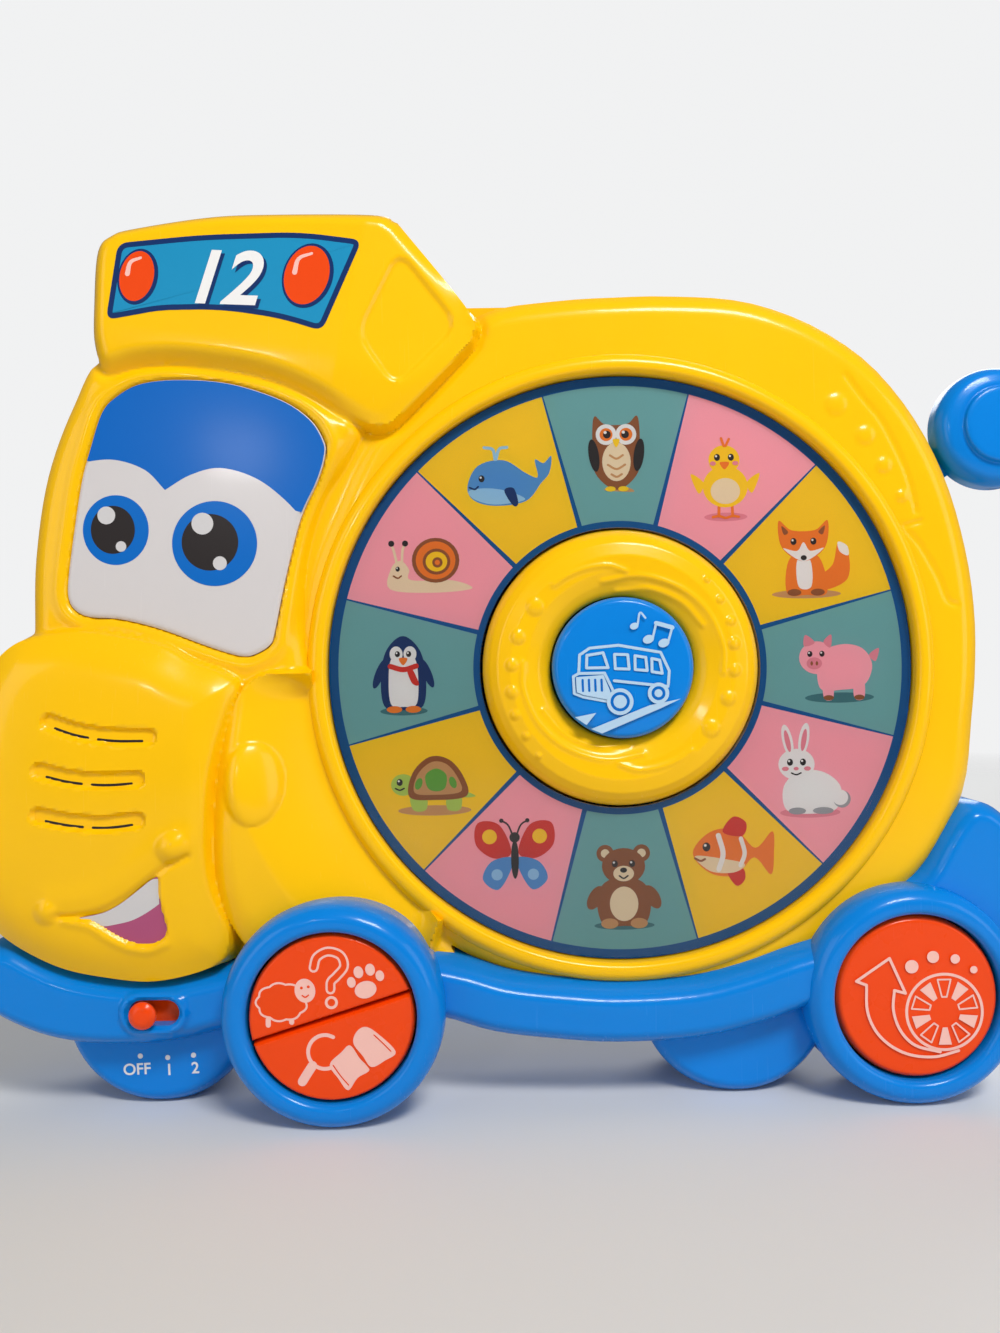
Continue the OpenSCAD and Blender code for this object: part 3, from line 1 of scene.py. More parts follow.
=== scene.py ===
import bpy
import bmesh
import json
import math
import numpy as np
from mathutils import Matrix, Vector


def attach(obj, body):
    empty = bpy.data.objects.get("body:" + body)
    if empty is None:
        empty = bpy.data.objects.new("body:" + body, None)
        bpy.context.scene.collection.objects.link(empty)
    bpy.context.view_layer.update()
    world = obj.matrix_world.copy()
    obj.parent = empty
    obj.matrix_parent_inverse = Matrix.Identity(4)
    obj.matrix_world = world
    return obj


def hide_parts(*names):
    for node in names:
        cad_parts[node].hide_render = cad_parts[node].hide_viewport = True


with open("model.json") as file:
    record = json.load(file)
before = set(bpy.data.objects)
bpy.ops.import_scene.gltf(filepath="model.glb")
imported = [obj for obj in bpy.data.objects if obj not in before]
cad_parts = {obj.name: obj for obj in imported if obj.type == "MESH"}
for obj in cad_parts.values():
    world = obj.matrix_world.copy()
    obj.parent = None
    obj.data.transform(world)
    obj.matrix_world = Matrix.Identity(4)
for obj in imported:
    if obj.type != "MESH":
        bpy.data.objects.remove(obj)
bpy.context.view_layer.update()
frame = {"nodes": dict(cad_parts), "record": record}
nodes = frame["nodes"]
print("frame loaded:", len(nodes), "nodes")

mm = 0.001
discX, discZ = 32.2, 133.0  # middle of the picture disc; sizes from here on are in millimetres


# Materials: a Value wraps a node socket, so that Python operators add Math nodes
class Value:
    def __init__(self, graph, socket):
        self.graph = graph
        self.socket = socket

    def calc(self, kind, one, two):
        return self.graph.add("ShaderNodeMath", {"operation": kind}, one, two)

    def __add__(self, other):
        return self.calc("ADD", self, other)

    def __mul__(self, other):
        return self.calc("MULTIPLY", self, other)

    def __rsub__(self, other):
        return self.calc("SUBTRACT", other, self)

    __radd__ = __add__
    __rmul__ = __mul__


# A material with one Principled shader; add() makes any other node
class Graph:
    def __init__(self, name, **constants):
        self.material = bpy.data.materials.new(name)
        self.material.use_nodes = True
        self.tree = self.material.node_tree
        self.shader = next(n for n in self.tree.nodes if n.type == "BSDF_PRINCIPLED")
        self.feed(**constants)

    def add(self, kind, settings, *values, output=0, **named):
        node = self.tree.nodes.new(kind)
        for key, value in settings.items():
            setattr(node, key, value)
        for key, value in [*enumerate(values), *named.items()]:
            self.join(value, node.inputs[key])
        return Value(self, node.outputs[output])

    def join(self, value, socket):
        if isinstance(value, Value):
            self.tree.links.new(value.socket, socket)
        else:
            socket.default_value = value

    def feed(self, **named):
        for key, value in named.items():
            self.join(value, self.shader.inputs[key.replace("_", " ")])

    def place(self):
        return self.add("ShaderNodeTexCoord", {}, output=3)

    def noise(self, scale, detail=2.0, rough=0.5, where=None):
        where = where or self.place()
        return self.add("ShaderNodeTexNoise", {}, Vector=where, Scale=scale, Detail=detail, Roughness=rough)

    def stretched(self, turn, scales):
        return self.add("ShaderNodeMapping", {}, self.place(), (0, 0, 0), (0, turn, 0), scales)

    def ramp(self, factor, low, high):
        return self.add("ShaderNodeMapRange", {"clamp": True}, factor, low, high, 0.0, 1.0)

    def blend(self, factor, one, two, kind="MIX"):
        node = self.add("ShaderNodeMix", {"data_type": "RGBA", "blend_type": kind}, factor).socket.node
        self.join(one, node.inputs[6])
        self.join(two, node.inputs[7])
        return Value(self, node.outputs[2])

    def toned(self, factor, colour, darker, lighter):
        # the colour times darker where the factor is 0, times lighter where it is 1
        ends = [tuple(min(1.0, c * amount) for c in colour) + (1.0,) for amount in (darker, lighter)]
        self.feed(Base_Color=self.blend(factor, *ends))

    def tooth(self, height, strength, distance=0.0001):
        bump = self.add("ShaderNodeBump", {}, Strength=strength, Distance=distance, Height=height)
        self.feed(Normal=bump)

    def scratches(self, turn, scale):
        where = self.stretched(turn, (scale, scale, scale / 45))
        return self.ramp(self.noise(1.0, 3.0, 0.55, where), 0.66, 0.72)


plasticLook = {"specular": 0.22, "coatRough": 0.08, "scuff": 0.16, "peel": 0.035, "peelDepth": 0.0006}
printLook = {"specular": 0.16, "coatRough": 0.15, "fade": 0.93, "tooth": 0.05}
clearLook = {"mirror": (0.95, 0.97, 0.98, 1), "rough": 0.06, "least": 0.01, "grazing": 0.8, "haze": 0.02}


def plasticFinish(name, colour, rough, coat, mottle=0.05):
    # moulded plastic: broad colour drift, hairline scratches that dull the gloss, and a faint orange peel
    g = Graph(name, Coat_Weight=coat, Coat_Roughness=plasticLook["coatRough"], IOR=1.45,
              Specular_IOR_Level=plasticLook["specular"])
    g.toned(g.noise(26.0, 3.0), colour, 1 - mottle, 1 + mottle)
    lines = g.scratches(0.5, 900.0) + g.scratches(-0.9, 760.0)
    handled = g.ramp(g.noise(9.0, 4.0, 0.6), 0.42, 0.68)
    dull = plasticLook["scuff"] * (lines * handled) + 0.03 * handled
    g.feed(Roughness=rough + 0.05 * g.noise(140.0, 3.0) + dull)
    g.tooth(g.noise(420.0) + 0.25 * g.noise(2600.0), plasticLook["peel"], plasticLook["peelDepth"])
    return g.material


def metalFinish(name, colour, rough=0.28):
    # plated steel: fine streaks along one way
    g = Graph(name, Metallic=1.0)
    grain = g.noise(1.0, 3.0, where=g.stretched(0, (400.0, 4000.0, 400.0)))
    g.toned(grain, colour, 0.85, 1.1)
    g.feed(Roughness=rough + 0.15 * grain)
    g.tooth(grain, 0.15)
    return g.material


def softFinish(name, colour, rough=0.6, depth=0.3, scale=900.0):
    # rubber, paper, boards and wire: dull, with a fine tooth
    g = Graph(name)
    grain = g.noise(scale, 4.0, 0.6)
    g.toned(grain, colour, 0.86, 1.12)
    g.feed(Roughness=rough + 0.12 * grain)
    g.tooth(grain, depth)
    return g.material


def printFinish(name, rough, coat):
    # printed film: the colour comes from the piece's own attribute, broken by the tooth of the print
    g = Graph(name, Coat_Weight=coat, Coat_Roughness=printLook["coatRough"],
              Specular_IOR_Level=printLook["specular"])
    worn = g.noise(1500.0, 3.0, 0.6)
    fade = printLook["fade"]
    wash = g.blend(0.6 * worn + 0.4 * g.noise(60.0, 3.0), (fade, fade, fade, 1), (1, 1, 1, 1))
    inked = g.add("ShaderNodeVertexColor", {"layer_name": "ink"})
    g.feed(Base_Color=g.blend(1.0, inked, wash, "MULTIPLY"), Roughness=rough + 0.08 * worn)
    g.tooth(worn, printLook["tooth"])
    return g.material


def clearFinish(name):
    # thin clear cover: mostly see-through, with a mirror-like reflection that grows at grazing angles
    g = Graph(name, Base_Color=clearLook["mirror"], Metallic=1.0, Roughness=clearLook["rough"])
    mirror = clearLook["least"] + clearLook["grazing"] * g.add("ShaderNodeFresnel", {}, 1.3)
    mirror = mirror + clearLook["haze"] * g.noise(40.0, 3.0)
    sheer = g.add("ShaderNodeBsdfTransparent", {})
    mixed = g.add("ShaderNodeMixShader", {}, mirror, sheer, Value(g, g.shader.outputs[0]))
    g.join(mixed, next(n for n in g.tree.nodes if n.type == "OUTPUT_MATERIAL").inputs[0])
    return g.material


finish = {  # one for each material slot of the record
    "yellow_plastic": plasticFinish("yellowPlastic", (0.96, 0.53, 0.001), 0.2, 0.2),
    "blue_plastic": plasticFinish("bluePlastic", (0.0, 0.21, 0.68), 0.22, 0.2),
    "navy_plastic": plasticFinish("navyPlastic", (0.002, 0.14, 0.5), 0.3, 0.15),
    "orange_plastic": plasticFinish("orangePlastic", (0.86, 0.06, 0.001), 0.24, 0.2),
    "panel_print": plasticFinish("whitePlastic", (0.63, 0.595, 0.59), 0.2, 0.25, 0.02),
    "white_plastic": plasticFinish("ivoryPlastic", (0.75, 0.73, 0.68), 0.42, 0.0, 0.04),
    "black_plastic": plasticFinish("blackPlastic", (0.012, 0.012, 0.014), 0.35, 0.1, 0.1),
    "clear_plastic": clearFinish("clearPlastic"),
    "sign_print": printFinish("printedFilm", 0.26, 0.1),
    "card_print": printFinish("printedCard", 0.5, 0.0),
    "rubber_pads": softFinish("greyRubber", (0.3, 0.31, 0.32)),
    "circuit_board": softFinish("circuitBoard", (0.015, 0.16, 0.05), 0.35, 0.12, 1400.0),
    "speaker_paper": softFinish("speakerPaper", (0.05, 0.05, 0.055), 0.8, 0.6, 1200.0),
    "screw_steel": metalFinish("platedSteel", (0.62, 0.61, 0.6)),
    "spring_steel": metalFinish("springSteel", (0.72, 0.7, 0.66), 0.18),
    "cell_jacket": softFinish("cellJacket", (0.6, 0.38, 0.08), 0.28, 0.05, 300.0),
    "red_wire": softFinish("redWire", (0.5, 0.02, 0.02), 0.4, 0.1),
    "black_wire": softFinish("blackWire", (0.012, 0.012, 0.014), 0.4, 0.1),
    "grey_wire": softFinish("greyWire", (0.4, 0.4, 0.41), 0.4, 0.1),
    "capacitor_jacket": softFinish("capacitorSleeve", (0.03, 0.04, 0.12), 0.3, 0.05),
}
finish["mouth_print"] = finish["sign_print"]
finish["switch_can"] = finish["speaker_metal"] = finish["screw_steel"]
for part in frame["record"]["subparts"]:
    for slot in nodes[part["node"]].material_slots:
        slot.material = finish[part["material_slot"]]
print("finishes made:", len(finish))


# Shape tools. Points are pairs (x, z), also where a list gives them as a flat run of numbers
def paired(points):
    return np.array(points, float).reshape(-1, 2)


def curveThrough(points, steps=6, closed=True):
    # Catmull-Rom curve: each span is a cubic of its four neighbouring points
    p = paired(points)
    if closed:
        a, b, c, d = np.roll(p, 1, 0), p, np.roll(p, -1, 0), np.roll(p, -2, 0)
    else:
        q = np.vstack([2 * p[0] - p[1], p, 2 * p[-1] - p[-2]])
        a, b, c, d = q[:-3], q[1:-2], q[2:-1], q[3:]
    t = (np.arange(steps) / steps)[None, :, None]
    a, b, c, d = (v[:, None, :] for v in (a, b, c, d))
    out = (2 * b + (c - a) * t + (2 * a - 5 * b + 4 * c - d) * t**2 + (3 * b - a - 3 * c + d) * t**3) / 2
    out = out.reshape(-1, 2)
    return out if closed else np.vstack([out, p[-1:]])


def openCurve(points, steps=6):
    return curveThrough(points, steps, False)


def gapToLine(x, z, line, closed=False):
    # least distance to the straight spans of a line
    best = np.full(x.shape, 1e9)
    ends = np.roll(line, -1, 0) if closed else line[1:]
    for (ax, az), (bx, bz) in zip(line, ends):
        ux, uz = bx - ax, bz - az
        t = np.clip(((x - ax) * ux + (z - az) * uz) / (ux * ux + uz * uz + 1e-12), 0, 1)
        best = np.minimum(best, (x - ax - t * ux) ** 2 + (z - az - t * uz) ** 2)
    return np.sqrt(best)


def depthIn(x, z, loop, margin=14.0):
    # distance to the loop, positive inside, where inside is an odd number of crossings; far points get -margin
    lo, hi = loop.min(0) - margin, loop.max(0) + margin
    near = (x > lo[0]) & (x < hi[0]) & (z > lo[1]) & (z < hi[1])
    px, pz = x[near], z[near]
    inside = np.zeros(px.shape, bool)
    for (ax, az), (bx, bz) in zip(loop, np.roll(loop, -1, 0)):
        if az != bz:
            inside ^= ((az > pz) != (bz > pz)) & (px < (bx - ax) * (pz - az) / (bz - az) + ax)
    out = np.full(x.shape, -margin)
    gap = gapToLine(px, pz, loop, True)
    out[near] = np.where(inside, gap, -np.minimum(gap, margin))
    return out


def ease(value, low, high):
    # smooth step from 0 at low to 1 at high
    t = np.clip((value - low) / (high - low), 0, 1)
    return t * t * (3 - 2 * t)


def pillow(depth, base, top, width, power=2.2, draft=4.0):
    # height over a form: base at its outline, rising to top over width; outside it falls away steeply
    s = np.clip(depth / width, 0, 1)
    return base + (top - base) * (1 - (1 - s) ** power) + draft * np.minimum(depth, 0)


def softMax(a, b, radius=1.0):
    # larger of two heights, with the crease between them filled
    return (a + b + np.sqrt((a - b) ** 2 + radius * radius)) / 2


def ridge(x, z, line, rise, width):
    # bell-shaped ridge of the given rise along a line
    return rise * np.exp(-(gapToLine(x, z, line) / width) ** 2)


def bump(x, z, cx, cz, r, power=1.3):
    # low mound that runs out softly at its edge
    return np.clip(1 - ((x - cx) ** 2 + (z - cz) ** 2) / (r * r), 0, 1) ** power


def finishMesh(name, points, faces, body, slot, covers=(), sharp=38.0, ink=None, material=None):
    mesh = bpy.data.meshes.new(name)
    mesh.from_pydata((np.asarray(points) * mm).tolist(), [], faces)
    mesh.validate()
    mesh.shade_smooth()
    mesh.set_sharp_from_angle(angle=math.radians(sharp))
    mesh.materials.append(material or finish[slot])
    if ink is not None:
        layer = mesh.color_attributes.new("ink", "FLOAT_COLOR", "CORNER")
        counts = np.array([len(p.vertices) for p in mesh.polygons])
        layer.data.foreach_set("color", np.repeat(np.asarray(ink, np.float32), counts, 0).ravel())
    obj = bpy.data.objects.new(name, mesh)
    bpy.context.scene.collection.objects.link(obj)
    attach(obj, body)
    if covers:
        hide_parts(*covers)
    return obj


def merged(parts):
    # several (points, faces) joined into one
    points, faces, count = [], [], 0
    for p, f in parts:
        points.append(np.asarray(p, float))
        faces += [tuple(int(i) + count for i in face) for face in f]
        count += len(p)
    return np.vstack(points), faces


def sweepGrid(rows, cols, closeRows=False, closeCols=True):
    # quads of a grid whose points are listed row by row
    i, j = np.meshgrid(np.arange(rows - 1 + closeRows), np.arange(cols - 1 + closeCols), indexing="ij")
    a, b = i * cols + j, i * cols + (j + 1) % cols
    c, d = ((i + 1) % rows) * cols + (j + 1) % cols, ((i + 1) % rows) * cols + j
    return np.stack([a, b, c, d], -1).reshape(-1, 4).tolist()


def rounded(points, radii, steps=6):
    # profile with each corner replaced by a quadratic blend that starts radius away from the corner
    p = paired(points)
    out = [p[:1]]
    t = np.linspace(0, 1, steps + 1)[:, None]
    for before, corner, after, r in zip(p, p[1:], p[2:], radii[1:]):
        u, v = before - corner, after - corner
        lu, lv = np.linalg.norm(u), np.linalg.norm(v)
        reach = min(r, lu * 0.48, lv * 0.48)
        if reach < 1e-4:
            out.append(corner[None])
        else:
            a, b = corner + u / lu * reach, corner + v / lv * reach
            out.append((1 - t) ** 2 * a + 2 * t * (1 - t) * corner + t * t * b)
    return np.vstack([*out, p[-1:]])


def turned(x, z, profile, steps=128, shut=False):
    # profile of (radius, y) turned about an axis along y; shut joins its two ends
    p = paired(profile)
    angle = np.linspace(0, 2 * math.pi, steps, endpoint=False)
    r, y = p[:, :1], p[:, 1:]
    points = np.stack([x + r * np.cos(angle), y + 0 * angle, z + r * np.sin(angle)], -1).reshape(-1, 3)
    return points, sweepGrid(len(p), steps, closeRows=shut)


def reliefSkin(name, extent, step, depth, height, body, slot, covers, side=-1, extra=(), baseY=0.0, sharp=38.0):
    # height field on a square grid: y = side * height(x, z) where depth(x, z) > 0. Rim points slide down the
    # slope of depth onto its zero line, walls drop from the rim to y = baseY, and the loops there are filled.
    x0, x1, z0, z1 = extent
    xs, zs = np.arange(x0, x1 + step, step), np.arange(z0, z1 + step, step)
    x, z = (v.ravel() for v in np.meshgrid(xs, zs, indexing="ij"))
    nx, nz = len(xs), len(zs)
    kept = (depth(x, z) > -0.4 * step).reshape(nx, nz)
    cell = kept[:-1, :-1] & kept[1:, :-1] & kept[:-1, 1:] & kept[1:, 1:]
    around = np.zeros((nx, nz), int)
    for dx in (0, 1):
        for dz in (0, 1):
            around[dx:nx - 1 + dx, dz:nz - 1 + dz] += cell
    rim = ((around > 0) & (around < 4)).ravel()
    rx, rz = x[rim], z[rim]
    g = 0.05  # half the span over which the slope is measured
    for _ in range(4):
        gx = (depth(rx + g, rz) - depth(rx - g, rz)) / (2 * g)
        gz = (depth(rx, rz + g) - depth(rx, rz - g)) / (2 * g)
        steep = np.maximum(gx * gx + gz * gz, 0.3)
        move = np.clip(depth(rx, rz) / steep, -0.6 * step, 0.6 * step)
        rx, rz = rx - move * gx, rz - move * gz
    x[rim], z[rim] = rx, rz
    i, k = np.nonzero(cell)
    base = i * nz + k
    quads = np.stack([base, base + nz, base + nz + 1, base + 1], 1)
    if side > 0:
        quads = quads[:, ::-1]
    used = np.unique(quads)
    index = np.full(nx * nz, -1)
    size = len(used)
    index[used] = np.arange(size)
    quads = index[quads]
    x, z = x[used], z[used]
    top = np.stack([x, side * height(x, z), z], 1)
    a, b = quads.ravel(), np.roll(quads, -1, 1).ravel()
    single = ~np.isin(a * size + b, b * size + a)
    a, b = a[single], b[single]
    edge = np.unique(np.concatenate([a, b]))
    foot = np.full(size, -1)
    foot[edge] = size + np.arange(len(edge))
    low = top[edge].copy()
    low[:, 1] = baseY
    walls = np.stack([b, a, foot[a], foot[b]], 1)
    mesh = bpy.data.meshes.new("cap")
    mesh.from_pydata(low.tolist(), (np.stack([foot[a], foot[b]], 1) - size).tolist(), [])
    work = bmesh.new()
    work.from_mesh(mesh)
    bmesh.ops.triangle_fill(work, edges=work.edges[:], use_beauty=True)
    work.verts.index_update()
    cap = [[v.index + size for v in f.verts][::-1 if f.normal.y * side > 0 else 1] for f in work.faces]
    work.free()
    bpy.data.meshes.remove(mesh)
    points, faces = merged([(np.vstack([top, low]), quads.tolist() + walls.tolist() + cap), *extra])
    print(name, "faces:", len(faces))
    return finishMesh(name, points, faces, body, slot, covers, sharp)


# Outlines of the bus, shared by the front and the back. Each has the left edge, the lowest point, the width and
# the height of its box, and then its corners in thousandths of that width and height
boxed = {
    "cab": (-147.7, 126, 104, 110, [0, 20, 380, 0, 766, 0, 786, 209, 800, 380, 853, 545, 930, 655, 990, 780,
        1000, 940, 700, 1000, 440, 1000, 220, 960, 126, 820, 47, 624, 7, 397, 0, 190]),
    "hood": (-166.5, 43.5, 80, 103, [894, 10, 975, 60, 990, 210, 1010, 450, 1020, 665, 1030, 820, 985, 868,
        870, 905, 754, 954, 605, 983, 456, 1000, 307, 995, 180, 960, 80, 870, 20, 733, 0, 550, 6, 360, 56,
        195, 152.5, 105, 335, 26, 520, -9, 704, -22]),
    "sign": (-126.6, 208, 116.2, 64.8, [30, 285, 120, 310, 234, 312, 415, 260, 543, 177, 658, 57, 710, 10,
        760, 5, 810, 70, 960, 340, 990, 420, 985, 520, 820, 900, 790, 955, 730, 990, 447, 1000, 293, 990,
        110, 945, 50, 915, 12, 840, 0, 600, 0, 403]),
    "panel": (-136, 138.3, 81, 84.8, [86, 149, 199, 139, 348, 101, 533, 33, 646, 0, 700, 6, 758, 40, 778,
        93, 819, 271, 879, 485, 948, 627, 977, 716, 974, 769, 923, 849, 812, 922, 626, 982, 440, 1000, 289,
        988, 195, 943, 138, 883, 90, 749, 58, 642, 26, 463, 0, 285, 2, 213, 31, 171]),
    "signLabel": (-121.4, 235.6, 77.2, 29.8, [0, 148, 211, 238, 444, 238, 676, 138, 839, 0, 1000, 909, 760,
        1000, 372, 987, 52, 919]),
    "bumper": (103, 22, 58.5, 70, [0, 540, 0, 260, 256, 0, 600, 14, 800, 86, 940, 200, 1000, 343, 1000, 514,
        974, 657, 910, 790, 825, 890, 720, 955, 610, 960, 530, 905, 460, 815, 320, 640]),
}
outline = {}
for key, (left, low, width, height, shares) in boxed.items():
    corners = paired(shares) / 1000 * (width, height) + (left, low)
    outline[key] = corners if key == "signLabel" else curveThrough(corners)

ringR = 97.0  # outer radius of the raised ring round the disc
shoulder = paired([  # angle about the disc, and how far the body reaches past the ring there
    -90, 4, -60, 8, -45, 14, -30, 17, -20, 17, -10, 13.8, 0, 14, 10, 15.4, 20, 17.5, 30, 20.7, 40, 23.7, 50,
    26, 60, 25.6, 70, 23.8, 80, 20, 90, 18.3, 100, 19, 110, 22, 120, 18, 135, 10, 150, 5, 180, 4, 225, 4,
    270, 4])
around = np.radians(np.arange(-90, 270, 3.0))
bodyR = ringR + np.interp(np.degrees(around), shoulder[:, 0], shoulder[:, 1])
bodyR = (np.roll(bodyR, 1) + 2 * bodyR + np.roll(bodyR, -1)) / 4  # evens out the kinks between the angles
outline["body"] = np.stack([discX + bodyR * np.cos(around), discZ + bodyR * np.sin(around)], 1)
lobe = openCurve([
    -68, 133.4, -76.4, 132.6, -82.6, 128.6, -86.9, 119.4, -90.1, 107.4, -91.8, 95.5, -92.6, 83.5, -92.2,
    74.5, -90.2, 65.4, -85.6, 55, -78, 45])
outline["fender"] = np.vstack([lobe, [(-30, 43), (-24, 60), (-40, 128), (-60, 132.4)]])
outline["mouth"] = curveThrough([
    -131, 61.8, -123.7, 63.3, -119.2, 65.4, -115.4, 68, -111.8, 70.8, -108.8, 73, -106.7, 73.4, -106.7,
    68.7, -106, 63.7, -105, 58.4, -106.2, 54.9, -110.6, 53.2, -115.6, 53.9, -120.3, 56.3, -124.3, 59,
    -127.8, 61.1], 5)
outline["filler"] = paired([-104, 46, -18, 41, -34, 66, -34, 214, -58, 226, -104, 226])
band = {"half": 9.8, "noseWiden": 2.1, "edge": 11.0, "front": 20.0, "shoulder": 6.5}
bandLine = openCurve([
    -157.2, 41.2, -150, 37.2, -141, 33.6, -130, 31.3, -118, 30.4, -106, 31.1, -92, 33.9, -56, 41, -24, 36,
    -6.6, 31, 11.3, 28.6, 29.3, 27.3, 53.3, 28.4, 71.4, 32.6, 88, 38, 118, 45, 135, 46], 4)
wheels = {  # middle, radius and front of each foot; near ones carry buttons
    "nearFront": (-55.8, 32.8, 33.2, 32.0), "nearRear": (118.3, 32.8, 33.2, 23.0),
    "farFront": (-113.0, 29.6, 30.0, 10.0), "farRear": (67.0, 29.6, 30.0, 10.0),
}
nearWheels, farWheels = ("nearFront", "nearRear"), ("farFront", "farRear")


def wheelDepth(x, z, key):
    wx, wz, r, _ = wheels[key]
    return r - np.hypot(x - wx, z - wz)


def discR(x, z):
    return np.hypot(x - discX, z - discZ)


def bandDepth(x, z):
    # distance inside the band, whose half width grows towards the nose
    return band["half"] + band["noseWiden"] * ease(-90 - x, 0, 62) - gapToLine(x, z, bandLine)


def bumperDepth(x, z):
    return depthIn(x, z, outline["bumper"])


def yellowParts(x, z):
    return {key: depthIn(x, z, outline[key]) for key in ("body", "cab", "hood", "fender", "sign", "filler")}


# Yellow front shell
relief = {"grilleDepth": 1.6, "grilleHalf": 2.5, "grilleDrop": 1.7, "panelSink": 1.6, "rimRise": 0.9,
          "dotRise": 0.65, "mouthSink": 1.3, "lipGroove": 1.0, "lipRise": 0.6, "facetSink": 1.0, "padRise": 2.4,
          "lineSink": 0.5}
grilleLines = [openCurve(p) - (0, relief["grilleDrop"]) for p in (
    [-137.8, 121.6, -130, 118.9, -120, 117.2, -108.8, 116.9],
    [-140.4, 107.3, -132, 105.2, -122, 104.2, -112.2, 104.6],
    [-141, 94.2, -132, 92.4, -122, 91.6, -112.4, 92.5])]
lipLine = openCurve([
    -136.9, 62.5, -132.5, 62.5, -123.6, 64, -116.2, 68, -110.3, 72.3, -106.4, 75.2, -104, 77.2, -101.1,
    78.3, -98.1, 79.7])
lowerLip = openCurve([
    -134.8, 61, -127.3, 59.1, -122.3, 55.5, -116.5, 52.4, -110.6, 51.4, -105.6, 53.4])
cheeks = [(-101.9, 82.4, 5.4, 2.1), (-140.1, 63.7, 4.2, 1.5)]  # x, z, radius and rise
facet = rounded([-39.8, 247.6, -33.4, 260.1, -16, 238.4, -35.3, 219.2, -46.1, 235.2, -39.8, 247.6], [6] * 6, 8)
bodyDots = [(99.9, 213, 3.6), (108.7, 203.3, 3.2), (114.2, 194, 2.7), (119.6, 184.4, 2.1)]  # x, z and radius
bodyLines = [openCurve(p) for p in (
    [103.1, 221.9, 107.9, 215, 113.4, 208.2, 117.2, 201, 120.8, 193, 122.8, 186.1, 124.2, 179.3],
    [120.5, 175.1, 125.4, 176.5],
    [121.4, 173.5, 125, 169.2, 128.6, 162.9, 130.9, 158.3, 133.3, 152.1, 136.1, 150.5])]


def yellowDepth(x, z):
    d = np.maximum.reduce(list(yellowParts(x, z).values()))
    cuts = [discR(x, z) - (ringR - 2.5), 1.5 - bandDepth(x, z), 1.5 - bumperDepth(x, z)]
    return np.minimum.reduce([d, *cuts, *(2.0 - wheelDepth(x, z, key) for key in nearWheels)])


def hoodTop(x, z):
    # crowned: lower away from its middle, by the square of the distance
    return 27.6 - 4.5 * ((z - 98) / 52) ** 2 - 1.6 * ((x + 126) / 40) ** 2


def signTop(x, z):
    # flat behind the label, falling away below it and right of a slanting crease
    below = 2.4 * (1 - ease(z + 0.16 * (x + 90), 208, 235))
    past = np.maximum(x + 42.5 - 0.222 * (z - 271), 0)
    return 20.0 - below - 0.13 * past


def yellowForms(x, z):
    # the raised forms alone, without the fine relief
    p = yellowParts(x, z)
    h = softMax(pillow(p["body"], 8.0, 12.0, 7.0), pillow(p["filler"], 9.0, 11.0, 4.0, 1.5, 1.0), 0.6)
    h = softMax(h, pillow(p["cab"], 12.5, 16.0, 6.0), 1.4)
    h = softMax(h, pillow(p["hood"], 19.5, hoodTop(x, z), 14.0, 2.4) - 9.0 * ease(p["fender"], -1.5, 2.5), 1.6)
    toBead = np.clip((discR(x, z) - ringR) / 25, 0, 1)
    flank = 11.6 + (12.2 - 2.4 * ((z - 90) / 42) ** 2) * (1 - (1 - toBead) ** 1.35)
    h = softMax(h, pillow(p["fender"], 19.4, flank, 9.0), 1.4)
    h = h - 1.3 * np.exp(-((p["sign"] + 1.4) / 1.7) ** 2)
    return softMax(h, pillow(p["sign"], 15.5, signTop(x, z), 5.0), 0.9)


def yellowHeight(x, z):
    # the forms with panel rim, grille, side pad, lips, mouth, cheeks, sign facet, dots and lines
    h = yellowForms(x, z)
    panel = depthIn(x, z, outline["panel"])
    h = h + relief["rimRise"] * np.exp(-((panel + 2.6) / 1.9) ** 2)
    h = h + (16.0 - relief["panelSink"] - h) * ease(panel, -0.35, 0.35)
    for line in grilleLines:
        h = h - relief["grilleDepth"] * ease(relief["grilleHalf"] - gapToLine(x, z, line), -0.3, 0.5)
    h = h + relief["padRise"] * np.sqrt(np.clip(1 - ((x + 79.4) / 8.6) ** 2 - ((z - 100.2) / 12.4) ** 2, 0, 1))
    h = h + ridge(x, z, lipLine + (-1.5, 5.0), relief["lipRise"], 4.0)
    h = h + ridge(x, z, lowerLip, relief["lipRise"], 1.3)
    h = h - ridge(x, z, lipLine, relief["lipGroove"], 0.9)
    h = h - relief["mouthSink"] * ease(depthIn(x, z, outline["mouth"]), -0.5, 0.4)
    for cx, cz, r, rise in cheeks:
        h = h + rise * bump(x, z, cx, cz, r)
    h = h - relief["facetSink"] * ease(depthIn(x, z, facet), -0.7, 0.5)
    for cx, cz, r in bodyDots:
        h = h + relief["dotRise"] * bump(x, z, cx, cz, r, 0.8)
    for line in bodyLines:
        h = h - ridge(x, z, line, relief["lineSink"], 0.75)
    return h


bead = rounded([97, 0, 97, -9.6, 96.6, -12.6, 94.4, -14.9, 91.6, -14.9, 90.5, -13.4, 90.5, -7.8, 94, -7.8,
                94, 0], [0, 0.5, 1.5, 1.6, 1.4, 0.8, 0.3, 0.3, 0], 4)
reliefSkin("yellowShell", (-170, 150, 30, 275), 0.72, yellowDepth, yellowHeight, "housing", "yellow_plastic",
           ("front_shell",), extra=[turned(discX, discZ, bead, 192, True)])

# Blue chassis
switchSlot = {"line": paired([-114.45, 31.9, -106.75, 31.9]), "half": 3.8, "rimRise": 1.35, "rimWidth": 3.3,
              "bevel": 1.2}


def slotGap(x, z):
    return gapToLine(x, z, switchSlot["line"]) - switchSlot["half"]


